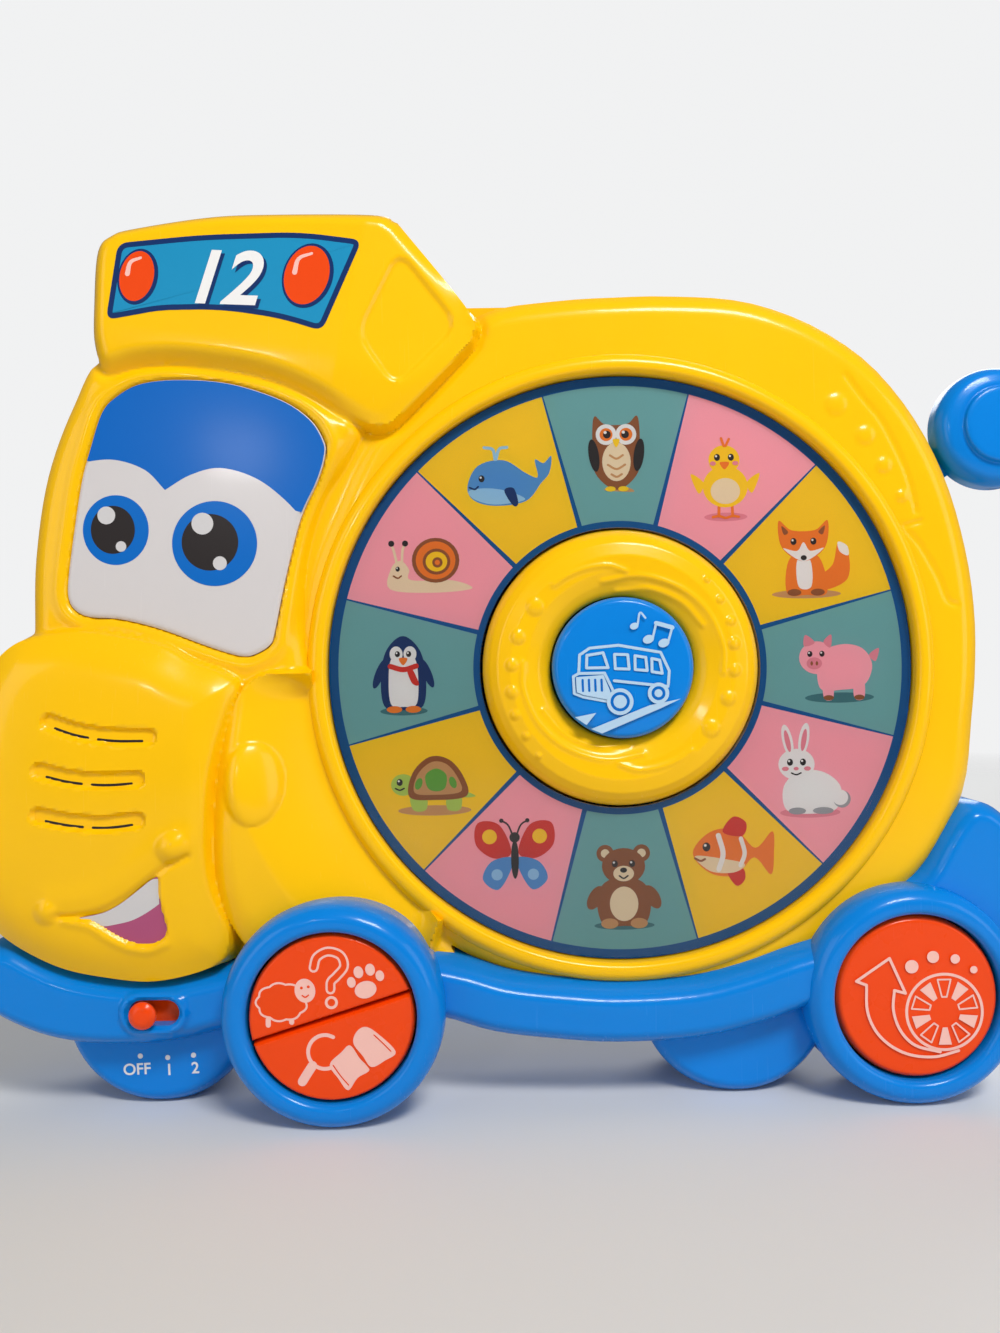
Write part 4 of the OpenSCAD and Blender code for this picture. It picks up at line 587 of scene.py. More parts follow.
def chassisDepth(x, z):
    d = np.maximum(bandDepth(x, z), bumperDepth(x, z))
    for key in farWheels:
        d = np.maximum(d, np.minimum(wheelDepth(x, z, key), 40 - z))
    return np.minimum.reduce([d, slotGap(x, z), z, *(3.0 - wheelDepth(x, z, key) for key in nearWheels)])


def chassisHeight(x, z):
    # band, bumper block and far wheels, with a raised and bevelled rim round the switch slot
    h = pillow(bandDepth(x, z), band["edge"], band["front"], band["shoulder"], 2.4)
    h = softMax(h, pillow(bumperDepth(x, z), 9.0, 15.0, 5.0), 1.0)
    for key in farWheels:
        h = softMax(h, pillow(wheelDepth(x, z, key), 5.5, 10.0, 4.5), 0.8)
    gap, bevel = slotGap(x, z), switchSlot["bevel"]
    h = h + switchSlot["rimRise"] * ease(switchSlot["rimWidth"] - gap, 0, 1.4)
    return h - bevel * ease(bevel - gap, 0, bevel)


def wheelRing(key):
    # ring with a bore for the button, flattened where it stands on the floor
    wx, wz, r, front = wheels[key]
    loop = [24.9, 0, 24.9, 1.6 - front, 26.2, 0.2 - front, 29.4, 0.2 - front, 32.4, 3.0 - front, r, 8.0 - front,
            31.6, -4, 31.6, 0]
    points, faces = turned(wx, wz, rounded(loop, [0, 1.0, 1.6, 3.0, 3.0, 3.0, 1.0, 0], 6), 160, True)
    points[:, 2] = np.maximum(points[:, 2], 0)
    return points, faces


reliefSkin("chassisShell", (-171, 163, -1, 95), 0.7, chassisDepth, chassisHeight, "housing", "blue_plastic",
           ("chassis",), extra=[wheelRing(key) for key in nearWheels])

# Back shell, with the battery tray sunk into it
door = {"left": -19.95, "right": 52.75, "low": 163.65, "high": 200.35, "inner": 29.8, "front": 31.9}
tray = {"left": -16.75, "right": 40.75, "low": 166.6, "high": 197.4, "floor": 14.2, "wall": 1.8, "lip": 0.5}
towers = paired([-110, 252, -52, 246, -134, 178, -150, 118, -78, 70, 13.4, 239.4, 95.3, 223.1, 129.0, 89.9])
backTops = {"nearFront": 10.0, "nearRear": 10.0, "farFront": 28.0, "farRear": 28.0}


def backSpan(x, z):
    return np.maximum.reduce([*yellowParts(x, z).values(), bandDepth(x, z), bumperDepth(x, z)])


def backDepth(x, z):
    # the whole outline, less the screw holes, the door's opening and what lies below the floor
    d = np.maximum.reduce([backSpan(x, z), *(wheelDepth(x, z, key) for key in wheels)])
    d = np.minimum.reduce([d, z, *(np.hypot(x - tx, z - tz) - 3.1 for tx, tz in towers)])
    beside = np.minimum(x - door["left"], door["right"] - x)
    return np.minimum(d, -np.minimum(beside, np.minimum(z - door["low"], door["high"] - z)))


def backHeight(x, z):
    # flat back with rounded edges, and four feet of their own thickness
    h = pillow(backSpan(x, z), 26.5, 32.0, 6.0)
    for key, top in backTops.items():
        h = softMax(h, pillow(wheelDepth(x, z, key), top - 4.5, top, 5.0), 0.8)
    return h


def ringOf(r, y, g=0.0):
    # corners of a rectangle at depth y, widened by g
    left, right, low, high = r["left"] - g, r["right"] + g, r["low"] - g, r["high"] + g
    return [(left, y, low), (right, y, low), (right, y, high), (left, y, high)]


def batteryTray():
    # rectangles joined from the mouth to the floor, and from there back up outside
    inner, floor, wall, lip = door["inner"], tray["floor"], tray["wall"], tray["lip"]
    rings = [ringOf(door, door["front"], lip), ringOf(door, door["front"]), ringOf(door, inner),
             ringOf(tray, inner), ringOf(tray, floor), ringOf(tray, floor - wall, wall),
             ringOf(tray, inner - wall, wall), ringOf(door, inner - wall, lip)]
    faces = [f for k, f in enumerate(sweepGrid(8, 4, closeRows=True)) if not 16 <= k < 20]
    return np.array(rings, float).reshape(-1, 3), faces + [(16, 17, 18, 19), (23, 22, 21, 20)]


seat = [1.65, 0.2, 1.65, 3.0, 3.3, 3.0, 3.3, 0.2]
reliefSkin("backShell", (-171, 163, -1, 275), 1.0, backDepth, backHeight, "housing", "navy_plastic",
           ("back_shell",), side=1,
           extra=[batteryTray(), *(turned(tx, tz, seat, 32, True) for tx, tz in towers)])
print("shells made")

# Prints: flat outlines stacked in thin layers
ink = {
    "teal": (0.165, 0.4, 0.4), "pink": (0.98, 0.375, 0.44), "sun": (0.98, 0.61, 0.012),
    "edge": (0.0, 0.085, 0.29), "white": (0.86, 0.84, 0.82), "cream": (0.85, 0.68, 0.45),
    "brown": (0.28, 0.09, 0.03), "dark": (0.025, 0.02, 0.02), "tan": (0.6, 0.3, 0.12),
    "orange": (0.88, 0.2, 0.02), "red": (0.66, 0.03, 0.02), "green": (0.13, 0.38, 0.05),
    "lime": (0.42, 0.6, 0.1), "blue": (0.08, 0.28, 0.62), "sky": (0.3, 0.56, 0.8), "grey": (0.33, 0.34, 0.36),
    "rose": (0.8, 0.24, 0.3), "sea": (0.012, 0.27, 0.5), "navy": (0.006, 0.03, 0.13),
    "iris": (0.0, 0.135, 0.52), "pane": (0.0, 0.125, 0.5), "lamp": (0.85, 0.065, 0.004),
    "gum": (0.42, 0.085, 0.19), "teeth": (0.62, 0.6, 0.6), "pale": (0.92, 0.53, 0.46),
    "shade": (0.05, 0.17, 0.19), "mist": (0.45, 0.63, 0.8),
}


def onArc(cx, cz, r, angles):
    return np.stack([cx + r * np.cos(angles), cz + r * np.sin(angles)], 1)


def spun(u, v, degrees):
    # the pair (u, v) turned by an angle
    c, s = math.cos(math.radians(degrees)), math.sin(math.radians(degrees))
    return u * c - v * s, u * s + v * c


def wound(points):
    # outline in the order in which its signed area is positive
    p = paired(points)
    area = np.sum(p[:, 0] * np.roll(p[:, 1], -1) - np.roll(p[:, 0], -1) * p[:, 1])
    return p[::-1] if area < 0 else p


def alongLine(p):
    # unit tangents and normals of the steps given
    t = p / (np.linalg.norm(p, axis=1)[:, None] + 1e-9)
    return t, np.stack([-t[:, 1], t[:, 0]], 1)


def shrunk(line, gap):
    # outline moved inwards along its normals
    return line + gap * alongLine(np.roll(line, -1, 0) - np.roll(line, 1, 0))[1]


# Collects coloured outlines; each one lies a little in front of the one before
class Print:
    def __init__(self, level, lift=0.012):
        self.level = level
        self.lift = lift
        self.rank = 0
        self.count = 0
        self.points, self.faces, self.inks = [], [], []

    def mesh(self, colour, x, z, faces):
        base = self.level(x, z) if callable(self.level) else self.level
        self.points.append(np.stack([x, 0 * x + base - self.lift * self.rank, z], 1))
        self.faces += [tuple(int(i) + self.count for i in f) for f in faces]
        self.inks += [(*ink[colour], 1.0)] * len(faces)
        self.count += len(x)
        self.rank += 1

    def area(self, colour, points):
        p = wound(points)
        self.mesh(colour, p[:, 0], p[:, 1], [range(len(p))])

    def fan(self, colour, points, rings):
        # outline shrunk towards its middle ring by ring, so that the print follows a curved face
        p = wound(points)
        mid, n = p.mean(0), len(p)
        grid = np.vstack([mid + (p - mid) * k / rings for k in range(rings, 0, -1)] + [mid[None]])
        last = (rings - 1) * n
        faces = sweepGrid(rings, n) + [(last + i, last + (i + 1) % n, rings * n) for i in range(n)]
        self.mesh(colour, grid[:, 0], grid[:, 1], faces)

    def dot(self, colour, x, z, rx, rz=None, turn=0.0, count=40):
        # oval with half axes rx and rz
        a = np.linspace(0, 2 * math.pi, count, endpoint=False)
        u, v = spun(rx * np.cos(a), (rz or rx) * np.sin(a), turn)
        self.area(colour, np.stack([x + u, z + v], 1))

    def line(self, colour, width, points, closed=False, taper=0.0):
        # pen line: the curve offset by half its width to both sides, with round ends
        p = curveThrough(points, 6, closed)
        if closed:
            p = np.vstack([p, p[:1]])
        t, n = alongLine(np.gradient(p, axis=0))
        w = (width / 2 * (1 - taper * np.linspace(0, 1, len(p))))[:, None]
        size = len(p)
        outer = [p + w * n, p - w * n]
        faces = [(i, i + size, i + size + 1, i + 1) for i in range(size - 1)]
        if not closed:
            a = np.linspace(0, math.pi, 7)[1:-1, None]
            outer.append(p[-1] + w[-1] * (np.cos(a) * n[-1] + np.sin(a) * t[-1]))
            outer.append(p[0] - w[0] * (np.cos(a) * n[0] + np.sin(a) * t[0]))
            faces.append((size - 1, *range(2 * size, 2 * size + 5), 2 * size - 1))
            faces.append((size, *range(2 * size + 5, 2 * size + 10), 0))
        p = np.vstack(outer)
        self.mesh(colour, p[:, 0], p[:, 1], faces)

    def edges(self, colour, width, points):
        # straight strokes from point to point
        p = paired(points)
        for ends in zip(p, p[1:]):
            self.line(colour, width, ends)

    def words(self, colour, text, x, z, size, turn=0.0, slant=0.0):
        curve = bpy.data.curves.new("words", "FONT")
        curve.body = text
        curve.size = size
        curve.align_x = curve.align_y = "CENTER"
        curve.shear = slant
        curve.offset = size * 0.018  # a little bolder
        temp = bpy.data.objects.new("words", curve)
        bpy.context.scene.collection.objects.link(temp)
        flat = bpy.data.meshes.new_from_object(temp.evaluated_get(bpy.context.evaluated_depsgraph_get()))
        p = np.empty(3 * len(flat.vertices), np.float32)
        flat.vertices.foreach_get("co", p)
        bpy.data.objects.remove(temp)
        u, v = spun(*p.astype(float).reshape(-1, 3).T[:2], turn)
        self.mesh(colour, x + u, z + v, [f.vertices for f in flat.polygons])

    def build(self, name, body, slot, covers=(), material=finish["sign_print"]):
        points = np.vstack(self.points)
        obj = finishMesh(name, points, self.faces, body, slot, covers, ink=self.inks, material=material)
        work = bmesh.new()
        work.from_mesh(obj.data)
        for f in work.faces:
            if f.normal.y > 0:
                f.normal_flip()
        work.to_mesh(obj.data)
        work.free()
        print(name, "prints:", self.rank)


# Windshield panel with its printed top and eyes
pane = {"face": 16.7, "inset": 0.25, "rim": 0.55, "back": -14.3, "archLeft": [
    -140, 194, -134.4, 196.5, -129.5, 198.2, -120.7, 198.7, -111.7, 195.5, -105.7, 189.3], "archRight": [
    -105.7, 189.3, -98, 193.7, -88.9, 195.7, -78.3, 192.5, -69.3, 185.6, -60, 175]}
eyes = (  # x, z and half axes of the ring and of the pupil, then x, z and radius of two glints
    ((-120.8, 177.4, 10.0, 10.6), (-121.7, 177.5, 6.7, 7.3), (-123.6, 181.9, 2.7), (-119.3, 172.4, 1.6)),
    ((-90.9, 172.8, 12.9, 12.9), (-92.3, 173.2, 8.6, 8.6), (-94.5, 178.9, 3.3), (-89.4, 166.8, 2.1)))


def paneDepth(x, z):
    return depthIn(x, z, outline["panel"]) - pane["inset"]


def paneHeight(x, z):
    # flat face with a rounded edge
    return pillow(paneDepth(x, z), pane["face"] - 0.7, pane["face"], 1.2)


reliefSkin("windshieldPanel", (-138, -53, 136, 226), 0.6, paneDepth, paneHeight, "housing", "panel_print",
           ("windshield",), baseY=pane["back"])
facePrint = Print(-pane["face"] - 0.02)
arch = np.vstack([openCurve(pane["archLeft"]), openCurve(pane["archRight"])[1:]])
rimPath = outline["panel"]
rimMid = rimPath.mean(0)
rimPath = rimMid + (rimPath - rimMid) * (1 - pane["rim"] / np.linalg.norm(rimPath - rimMid, axis=1)[:, None])
above = rimPath[:, 1] > np.interp(rimPath[:, 0], arch[:, 0], arch[:, 1])
rimTop = np.roll(rimPath, -np.argmax(above & ~np.roll(above, 1)), 0)[:above.sum()]
inner = arch[(arch[:, 0] > rimTop[-1, 0] + 0.3) & (arch[:, 0] < rimTop[0, 0] - 0.3)]
facePrint.area("pane", np.vstack([rimTop, inner]))
for ring, pupil, *glints in eyes:
    facePrint.dot("iris", *ring, count=72)
    facePrint.dot("dark", *pupil, count=64)
    for glint in glints:
        facePrint.dot("teeth", *glint)
facePrint.build("windshieldPrint", "housing", "panel_print")

# Mouth: a pale upper part and a pink lower part in the recess
mouthPrint = Print(lambda x, z: 1.0 - yellowForms(x, z), 0.04)
mouthPrint.fan("gum", outline["mouth"], 16)
topEdge = openCurve([
    -130.6, 61.8, -123.7, 63.2, -119.2, 65.3, -115.4, 67.9, -111.8, 70.7, -108.8, 72.9, -106.9, 73.2])
lowEdge = openCurve([
    -130.6, 61.7, -127.8, 61.1, -124.3, 59.2, -119.3, 59.8, -114.9, 60.9, -110.4, 63.2, -106.6, 65.8])
across = np.linspace(-130.5, -106.9, 60)
lower, upper = [np.interp(across, edge[:, 0], edge[:, 1]) for edge in (lowEdge, topEdge)]
share = np.linspace(0, 1, 14)[:, None]
teethZ = lower * (1 - share) + upper * share
mouthPrint.mesh("teeth", np.tile(across, 14), teethZ.ravel(), sweepGrid(14, 60, closeCols=False))
mouthPrint.build("mouthPrint", "housing", "mouth_print", ("mouth_label",))

# Painted shade: dark strips along the lower edge of each grille recess stand in for the shadowed slits
slitShade = {"width": 0.75, "drop": 1.35, "runs": ((0.06, 0.45), (0.55, 0.94))}
slitShadePrint = Print(lambda x, z: -(yellowHeight(x, z) + 0.05), 0.0)
for line in grilleLines:
    for first, last in slitShade["runs"]:
        k = np.linspace(first, last, 14) * (len(line) - 1)
        run = np.stack([np.interp(k, np.arange(len(line)), line[:, i]) for i in (0, 1)], 1)
        slitShadePrint.line("dark", slitShade["width"], run - (0, slitShade["drop"]))
# painted shade: the strips take the black plastic finish in place of the dark openings
slitShadePrint.build("grilleSlitShade", "housing", "black_plastic")

# Roof sign label: a plain number between two lamps
signLook = {"number": "12", "size": 22.5, "slant": 0.28, "turn": -3.0, "border": 1.6, "level": -20.1}
corners = outline["signLabel"]
start = (corners[0] + corners[1]) / 2
labelLine = np.vstack([start, corners[1:], corners[:1], start])
labelLine = rounded(labelLine, [0, 8, 8, 8, 3.2, 3.2, 8, 8, 3.2, 3.2, 0], 8)[:-1]
signPrint = Print(signLook["level"])
signPrint.fan("navy", labelLine, 6)
signPrint.fan("sea", shrunk(labelLine, signLook["border"]), 6)
for lx, lz, rx, rz, tilt in ((-111.9, 253, 5.1, 7.6, -14), (-60.9, 252.4, 6.6, 9.0, -20)):
    signPrint.dot("navy", lx + 0.3, lz - 0.2, rx + 0.9, rz + 0.9, tilt, 56)
    signPrint.dot("lamp", lx, lz, rx, rz, tilt, 56)
    glint = paired([-0.55, 0.1, -0.35, 0.55, 0.25, 0.72]) * (rx, rz) + (lx, lz)
    signPrint.line("pale", 1.5, glint, taper=0.5)
for colour, x, z in (("navy", -86.1, 250.3), ("white", -87.0, 251.3)):
    signPrint.words(colour, signLook["number"], x, z, signLook["size"], signLook["turn"], signLook["slant"])
signPrint.build("signPrint", "housing", "sign_print", ("sign_label",))
print("face and sign printed")

# Picture card: twelve sectors with plain animal pictures
card = {"inner": 43.5, "outer": 90.2, "band": 2.9, "innerBand": 2.0, "pictureR": 67.2, "size": 13.4,
        "level": -10.02}
sectorInk = ("teal", "sun", "pink")  # anticlockwise from twelve o'clock
cardPrint = Print(card["level"], 0.006)


def sector(colour, radii, mid, halves, steps):
    # quads between two arcs about the disc, each reaching half an angle to both sides of mid
    arcs = [onArc(discX, discZ, r, np.radians(np.linspace(mid - half, mid + half, steps)))
            for r, half in zip(radii, halves)]
    p = np.vstack(arcs)
    faces = [(i, i + 1, i + 1 + steps, i + steps) for i in range(steps - 1)]
    cardPrint.mesh(colour, p[:, 0], p[:, 1], faces)


sector("edge", (card["inner"], card["outer"]), 180, (180, 180), 361)
radii = card["inner"] + card["innerBand"], card["outer"] - card["band"]
halves = [15 - math.degrees(gap / r) for gap, r in zip((0.75, 0.25), radii)]
for i in range(12):
    cardPrint.rank = 1
    sector(sectorInk[i % 3], radii, 90 + 30 * i, halves, 20)


# Parts of a picture, in hundredths of its half width: an oval, a filled curve, a pen line, or mirrored ovals
def dot(colour, x, z, rx, rz=None, turn=0):
    return "dot", colour, (x / 100, z / 100, rx / 100, (rz or rx) / 100), turn


def blob(colour, *points):
    return "blob", colour, paired(points) / 100, 0


def pen(colour, width, *points):
    return "pen", colour, paired(points) / 100, width / 100


def twin(colour, x, z, rx, rz=None, turn=0):
    return dot(colour, -x, z, rx, rz, turn), dot(colour, x, z, rx, rz, -turn)


def eye(x, z, r=7):
    return dot("dark", x, z, r, r * 1.15), dot("white", x - r * 0.3, z + r * 0.4, r * 0.35)


pictures = {  # anticlockwise from twelve o'clock
    "owl": [blob("tan", -30, -90, 40, -95, 10, -80),
        blob("brown", -50, 80, -25, 62, 25, 62, 50, 80, 55, 20, 50, -50, 0, -90, -50, -50, -55, 20),
        dot("cream", 0, -25, 33, 45), pen("tan", 5, -15, -10, 0, -18, 15, -10),
        pen("tan", 5, -20, -32, 0, -42, 20, -32), pen("tan", 5, -12, -54, 0, -60, 12, -54),
        *twin("white", 23, 38, 24), *twin("orange", 23, 38, 15), *twin("dark", 21, 38, 9),
        dot("white", -25, 43, 3.5), dot("white", 17, 43, 3.5), blob("sun", -8, 26, 8, 26, 0, 8),
        *twin("dark", 52, -10, 12, 38, 8), *twin("sun", 15, -88, 12, 6)],
    "whale": [blob("blue", -95, -10, -70, 38, -10, 50, 40, 20, 68, 10, 62, 50, 82, 42, 100, 58, 95, 20, 75,
        -5, 40, -45, -30, -55, -80, -42),
        blob("sky", -92, -20, -50, -14, 0, -22, 38, -42, -30, -52, -78, -40), *eye(-62, 8, 7),
        pen("sky", 7, -30, 52, -35, 75, -55, 80), pen("sky", 7, -28, 52, -20, 76, -2, 80),
        blob("navy", -10, -20, 10, -55, 22, -50, 12, -15), pen("navy", 4, -90, -12, -78, -16, -70, -10)],
    "snail": [blob("cream", -95, -60, -90, -10, -68, 5, -50, -15, -45, -40, 50, -42, 95, -62, 0, -70),
        dot("brown", 12, 5, 55, 52), dot("orange", 12, 5, 46, 44), dot("brown", 14, 2, 32, 30),
        dot("sun", 14, 2, 25, 23), dot("brown", 16, 0, 12), dot("orange", 16, 0, 6),
        pen("cream", 6, -78, 0, -85, 30, -90, 42), pen("cream", 6, -66, 2, -64, 30, -58, 42),
        dot("dark", -90, 45, 7), dot("dark", -58, 45, 7), *eye(-76, -14, 5),
        pen("brown", 3.5, -86, -30, -76, -35, -68, -30)],
    "penguin": [dot("shade", 0, -92, 55, 10),
        blob("navy", -45, -80, -52, -10, -38, 50, 0, 82, 38, 50, 52, -10, 45, -80, 0, -90),
        blob("white", -30, -75, -34, -10, -26, 30, 0, 20, 26, 30, 34, -10, 30, -75, 0, -82),
        *twin("white", 16, 40, 15, 18), *eye(-13, 40, 6), *eye(13, 40, 6),
        blob("orange", -10, 30, 10, 30, 0, 14), *twin("navy", 55, -5, 10, 36, -22),
        *twin("orange", 22, -88, 18, 8), pen("red", 12, -30, 12, 0, 4, 30, 12),
        blob("red", 18, 10, 36, -30, 20, -28, 8, 5)],
    "turtle": [dot("shade", 0, -72, 85, 12), dot("lime", -72, -12, 28, 25),
        blob("lime", -50, -70, -55, -30, -20, -35, -20, -70),
        blob("lime", 30, -70, 30, -35, 60, -30, 60, -70), blob("lime", 60, -25, 95, -40, 65, -42),
        blob("brown", -58, -40, -50, 15, -10, 52, 35, 45, 68, 5, 74, -40, 0, -48),
        blob("tan", -46, -30, -38, 12, -5, 40, 30, 34, 56, 0, 60, -30, 0, -36),
        blob("green", -15, -20, -20, 10, 5, 25, 28, 10, 25, -20, 5, -28), dot("green", -36, -10, 8, 14, -20),
        dot("green", 43, -8, 8, 14, 20), *eye(-80, -6), pen("dark", 3.5, -90, -20, -80, -24, -70, -20)],
    "butterfly": [blob("red", -8, 10, -35, 75, -85, 80, -90, 30, -50, -2),
        blob("red", 8, 10, 50, -2, 90, 30, 85, 80, 35, 75),
        blob("blue", -8, 0, -55, -10, -75, -50, -40, -75, -10, -30),
        blob("blue", 8, 0, 10, -30, 40, -75, 75, -50, 55, -10), *twin("sun", 58, 48, 17),
        *twin("sky", 42, -40, 13), dot("dark", 0, -5, 9, 45), dot("dark", 0, 46, 12),
        pen("dark", 4, -4, 50, -15, 75, -30, 85), pen("dark", 4, 4, 50, 15, 75, 30, 85),
        *twin("dark", 30, 85, 5)],
    "bear": [dot("shade", 0, -95, 70, 10), *twin("brown", 42, 72, 20), *twin("cream", 42, 72, 10),
        blob("brown", -50, -90, -62, -30, -35, 10, 35, 10, 62, -30, 50, -90, 0, -96),
        dot("cream", 0, -45, 33, 40), dot("brown", 0, 42, 50, 42), dot("cream", 0, 25, 24, 18),
        dot("dark", 0, 33, 8, 6), *eye(-20, 48), *eye(20, 48), pen("dark", 3.5, -10, 20, 0, 14, 10, 20),
        *twin("brown", 66, -30, 16, 30, -30), *twin("tan", 34, -90, 20, 12)],
    "fish": [blob("orange", -90, 2, -50, 50, 10, 55, 55, 12, 95, 50, 98, 0, 90, -50, 52, -10, 10, -50, -50,
        -45), blob("red", -20, 50, 5, 85, 35, 70, 25, 40), blob("red", -10, -42, 10, -75, 30, -60, 25, -35),
        blob("cream", -85, -5, -50, -40, 5, -44, 30, -25, -20, -12),
        pen("white", 12, -30, 42, -20, 0, -30, -36), pen("white", 10, 22, 34, 30, 0, 20, -28),
        *eye(-58, 16, 9), pen("brown", 5, -85, -10, -72, -16, -62, -12)],
    "rabbit": [dot("shade", 0, -92, 70, 12),
        blob("white", -55, -85, -60, -30, -20, 5, 35, 0, 72, -35, 60, -85, 0, -95), dot("grey", 74, -62, 20),
        dot("white", 70, -58, 18), dot("white", -30, 20, 42, 36), dot("white", -50, 75, 12, 38, 12),
        dot("white", -12, 78, 12, 38, -10), dot("rose", -50, 74, 6, 26, 12), dot("rose", -12, 76, 6, 26, -10),
        *eye(-45, 25), *eye(-15, 25), dot("rose", -31, 10, 6, 4), pen("dark", 3.5, -42, 0, -31, -4, -20, 0),
        dot("grey", -30, -88, 20, 8), dot("grey", 30, -88, 24, 8), dot("rose", -56, 10, 8, 5),
        dot("rose", -5, 10, 8, 5)],
    "pig": [dot("shade", 5, -78, 80, 12), blob("rose", 75, 20, 98, 35, 90, 5),
        blob("pink", -40, -55, -40, 20, 10, 45, 60, 35, 82, -5, 62, -50, 10, -60),
        blob("pink", -30, -80, -32, -40, -10, -40, -10, -80),
        blob("pink", 40, -80, 40, -40, 62, -40, 62, -80), dot("brown", -20, -78, 12, 6),
        dot("brown", 51, -78, 12, 6), dot("pink", -45, 15, 42, 38), blob("rose", -75, 42, -72, 68, -50, 50),
        blob("rose", -30, 52, -12, 68, -14, 38), dot("rose", -52, 2, 18, 14), dot("brown", -58, 2, 3, 5),
        dot("brown", -46, 2, 3, 5), *eye(-62, 24, 6), *eye(-34, 24, 6)],
    "fox": [dot("shade", 0, -88, 80, 10), blob("orange", 35, -80, 95, -55, 98, 10, 75, 30, 62, -20, 30, -50),
        blob("white", 98, 0, 96, 22, 75, 32, 78, 10),
        blob("orange", -45, -85, -40, -10, 0, 10, 35, -10, 48, -85, 0, -90),
        blob("white", -18, -70, -20, -10, 10, -10, 12, -70),
        blob("orange", -62, 82, -55, 20, -5, -12, 45, 20, 52, 82, 22, 60, -32, 60),
        blob("white", -52, 18, -5, -12, 42, 18, 10, 12, -5, 32, -20, 12),
        blob("brown", -55, 70, -50, 50, -40, 56), blob("brown", 45, 70, 40, 50, 30, 56), *eye(-28, 34),
        *eye(18, 34), dot("dark", -5, -4, 7, 6), dot("brown", -28, -84, 16, 8), dot("brown", 26, -84, 16, 8)],
    "chick": [dot("shade", 0, -90, 50, 10), pen("orange", 7, -15, -60, -16, -88),
        pen("orange", 7, 15, -60, 16, -88), dot("sun", 0, -20, 52, 48), dot("cream", 0, -30, 34, 30),
        dot("sun", -2, 42, 36, 34), blob("sun", -50, -10, -80, 10, -62, -35),
        blob("sun", 50, -10, 80, 10, 62, -35), blob("orange", -12, 36, 10, 36, -1, 20), *eye(-18, 48),
        *eye(14, 48), pen("orange", 6, -2, 74, -8, 92), pen("orange", 6, 2, 74, 10, 90),
        dot("rose", -28, 34, 7, 5), dot("rose", 24, 34, 7, 5), pen("orange", 6, -30, -90, -16, -88, -2, -92),
        pen("orange", 6, 2, -92, 16, -88, 30, -90)],
}
groundInk = {"teal": "shade", "sun": "tan", "pink": "rose"}
k = card["size"]
for i, parts in enumerate(pictures.values()):
    middle = onArc(discX, discZ, card["pictureR"], np.radians([90 + 30 * i]))[0]
    cardPrint.rank = 2
    for kind, colour, where, extra in parts:
        if colour == "shade":
            colour = groundInk[sectorInk[i % 3]]
        if kind == "dot":
            x, z, rx, rz = where
            cardPrint.dot(colour, middle[0] + k * x, middle[1] + k * z, k * rx, k * rz, extra, 28)
        elif kind == "blob":
            cardPrint.area(colour, curveThrough(middle + k * where))
        else:
            cardPrint.line(colour, extra * k, middle + k * where)
cardPrint.build("pictureCard", "picture_disc", "card_print", ("picture_card",), finish["card_print"])
print("card printed")

# Hub with raised dots and swirls, both repeated half a turn on
hub = {"inner": 21.9, "outer": 42.6, "dotRise": 0.8, "swirlRise": 0.55, "swirlWidth": 0.9, "back": -4.0}
hubDots = [(5.9, 151.8, 2.9), (0.6, 142.8, 2.4), (-1.4, 134.4, 2.1), (-1.5, 126.2, 2.1), (-0.7, 119.3, 1.7),
           (2.5, 112.8, 1.4), (6.3, 106.7, 1.1)]
hubDots += [(2 * discX - x, 2 * discZ - z, r) for x, z, r in hubDots]
swirls = [paired(p) for p in (
    [11.8, 158.4, 16.5, 161.4, 22.5, 163.4, 28.5, 163.9, 33.5, 162.2],
    [26.5, 159.2, 38, 160.6, 50, 156.8, 58, 149.5, 62.4, 139.5, 62.6, 131],
    [31, 156.2, 41, 156.6, 50.5, 152.4, 56.5, 145.5])]
swirls += [(2 * discX, 2 * discZ) - line for line in swirls]
swirls = [openCurve(line) for line in swirls]
hubR = [21.9, 22.4, 23.4, 25.6, 29.2, 34.0, 38.0, 40.4, 41.8, 42.6]
hubY = [13.6, 14.3, 15.1, 16.3, 17.6, 18.0, 16.9, 15.0, 12.9, 10.4]


def hubDepth(x, z):
    return np.minimum(hub["outer"] - discR(x, z), discR(x, z) - hub["inner"])


def hubHeight(x, z):
    # ring profile over the distance from the middle, with the dots and swirls added
    h = np.interp(discR(x, z), hubR, hubY)
    for cx, cz, r in hubDots:
        h = h + hub["dotRise"] * bump(x, z, cx, cz, r, 0.8)
    for line in swirls:
        h = h + ridge(x, z, line, hub["swirlRise"], hub["swirlWidth"])
    return h


reliefSkin("hubRing", (-11, 76, 90, 177), 0.45, hubDepth, hubHeight, "housing", "yellow_plastic", ("hub",),
           baseY=hub["back"], sharp=50)

# Buttons: one in the hub, two halves in the front wheel, one in the rear wheel
button = {"radius": 24.4, "splitTurn": 17, "splitGap": 0.3, "front": 30.0, "rear": 21.0, "sheet": 0.03}
profile = rounded([0, -20, 14, -19.9, 20.4, -19.3, 21.4, -17.5, 21.4, -8, 0, -8], [0, 2, 1.2, 0.6, 0, 0], 5)
finishMesh("musicButton", *turned(discX, discZ, profile), "music", "blue_plastic", ("music_button",))


def pressButton(name, wheel, side, face, width, crown, box, back, body, covers):
    # rounded disc in a wheel, lower by crown times the square of the distance from its middle in radii; side 1
    # or -1 picks its upper or lower half, and 0 all of it
    wx, wz = wheels[wheel][:2]

    def depth(x, z):
        d = button["radius"] - np.hypot(x - wx, z - wz)
        if not side:
            return d
        return np.minimum(d, side * spun(x - wx, z - wz, -button["splitTurn"])[1] - button["splitGap"])

    def height(x, z):
        d = depth(x, z)
        return pillow(d, face - 2.2, face, width, 2.6) - crown * np.clip(1 - d / button["radius"], 0, 1) ** 2

    reliefSkin(name, box, 0.45, depth, height, body, "orange_plastic", covers, baseY=back)


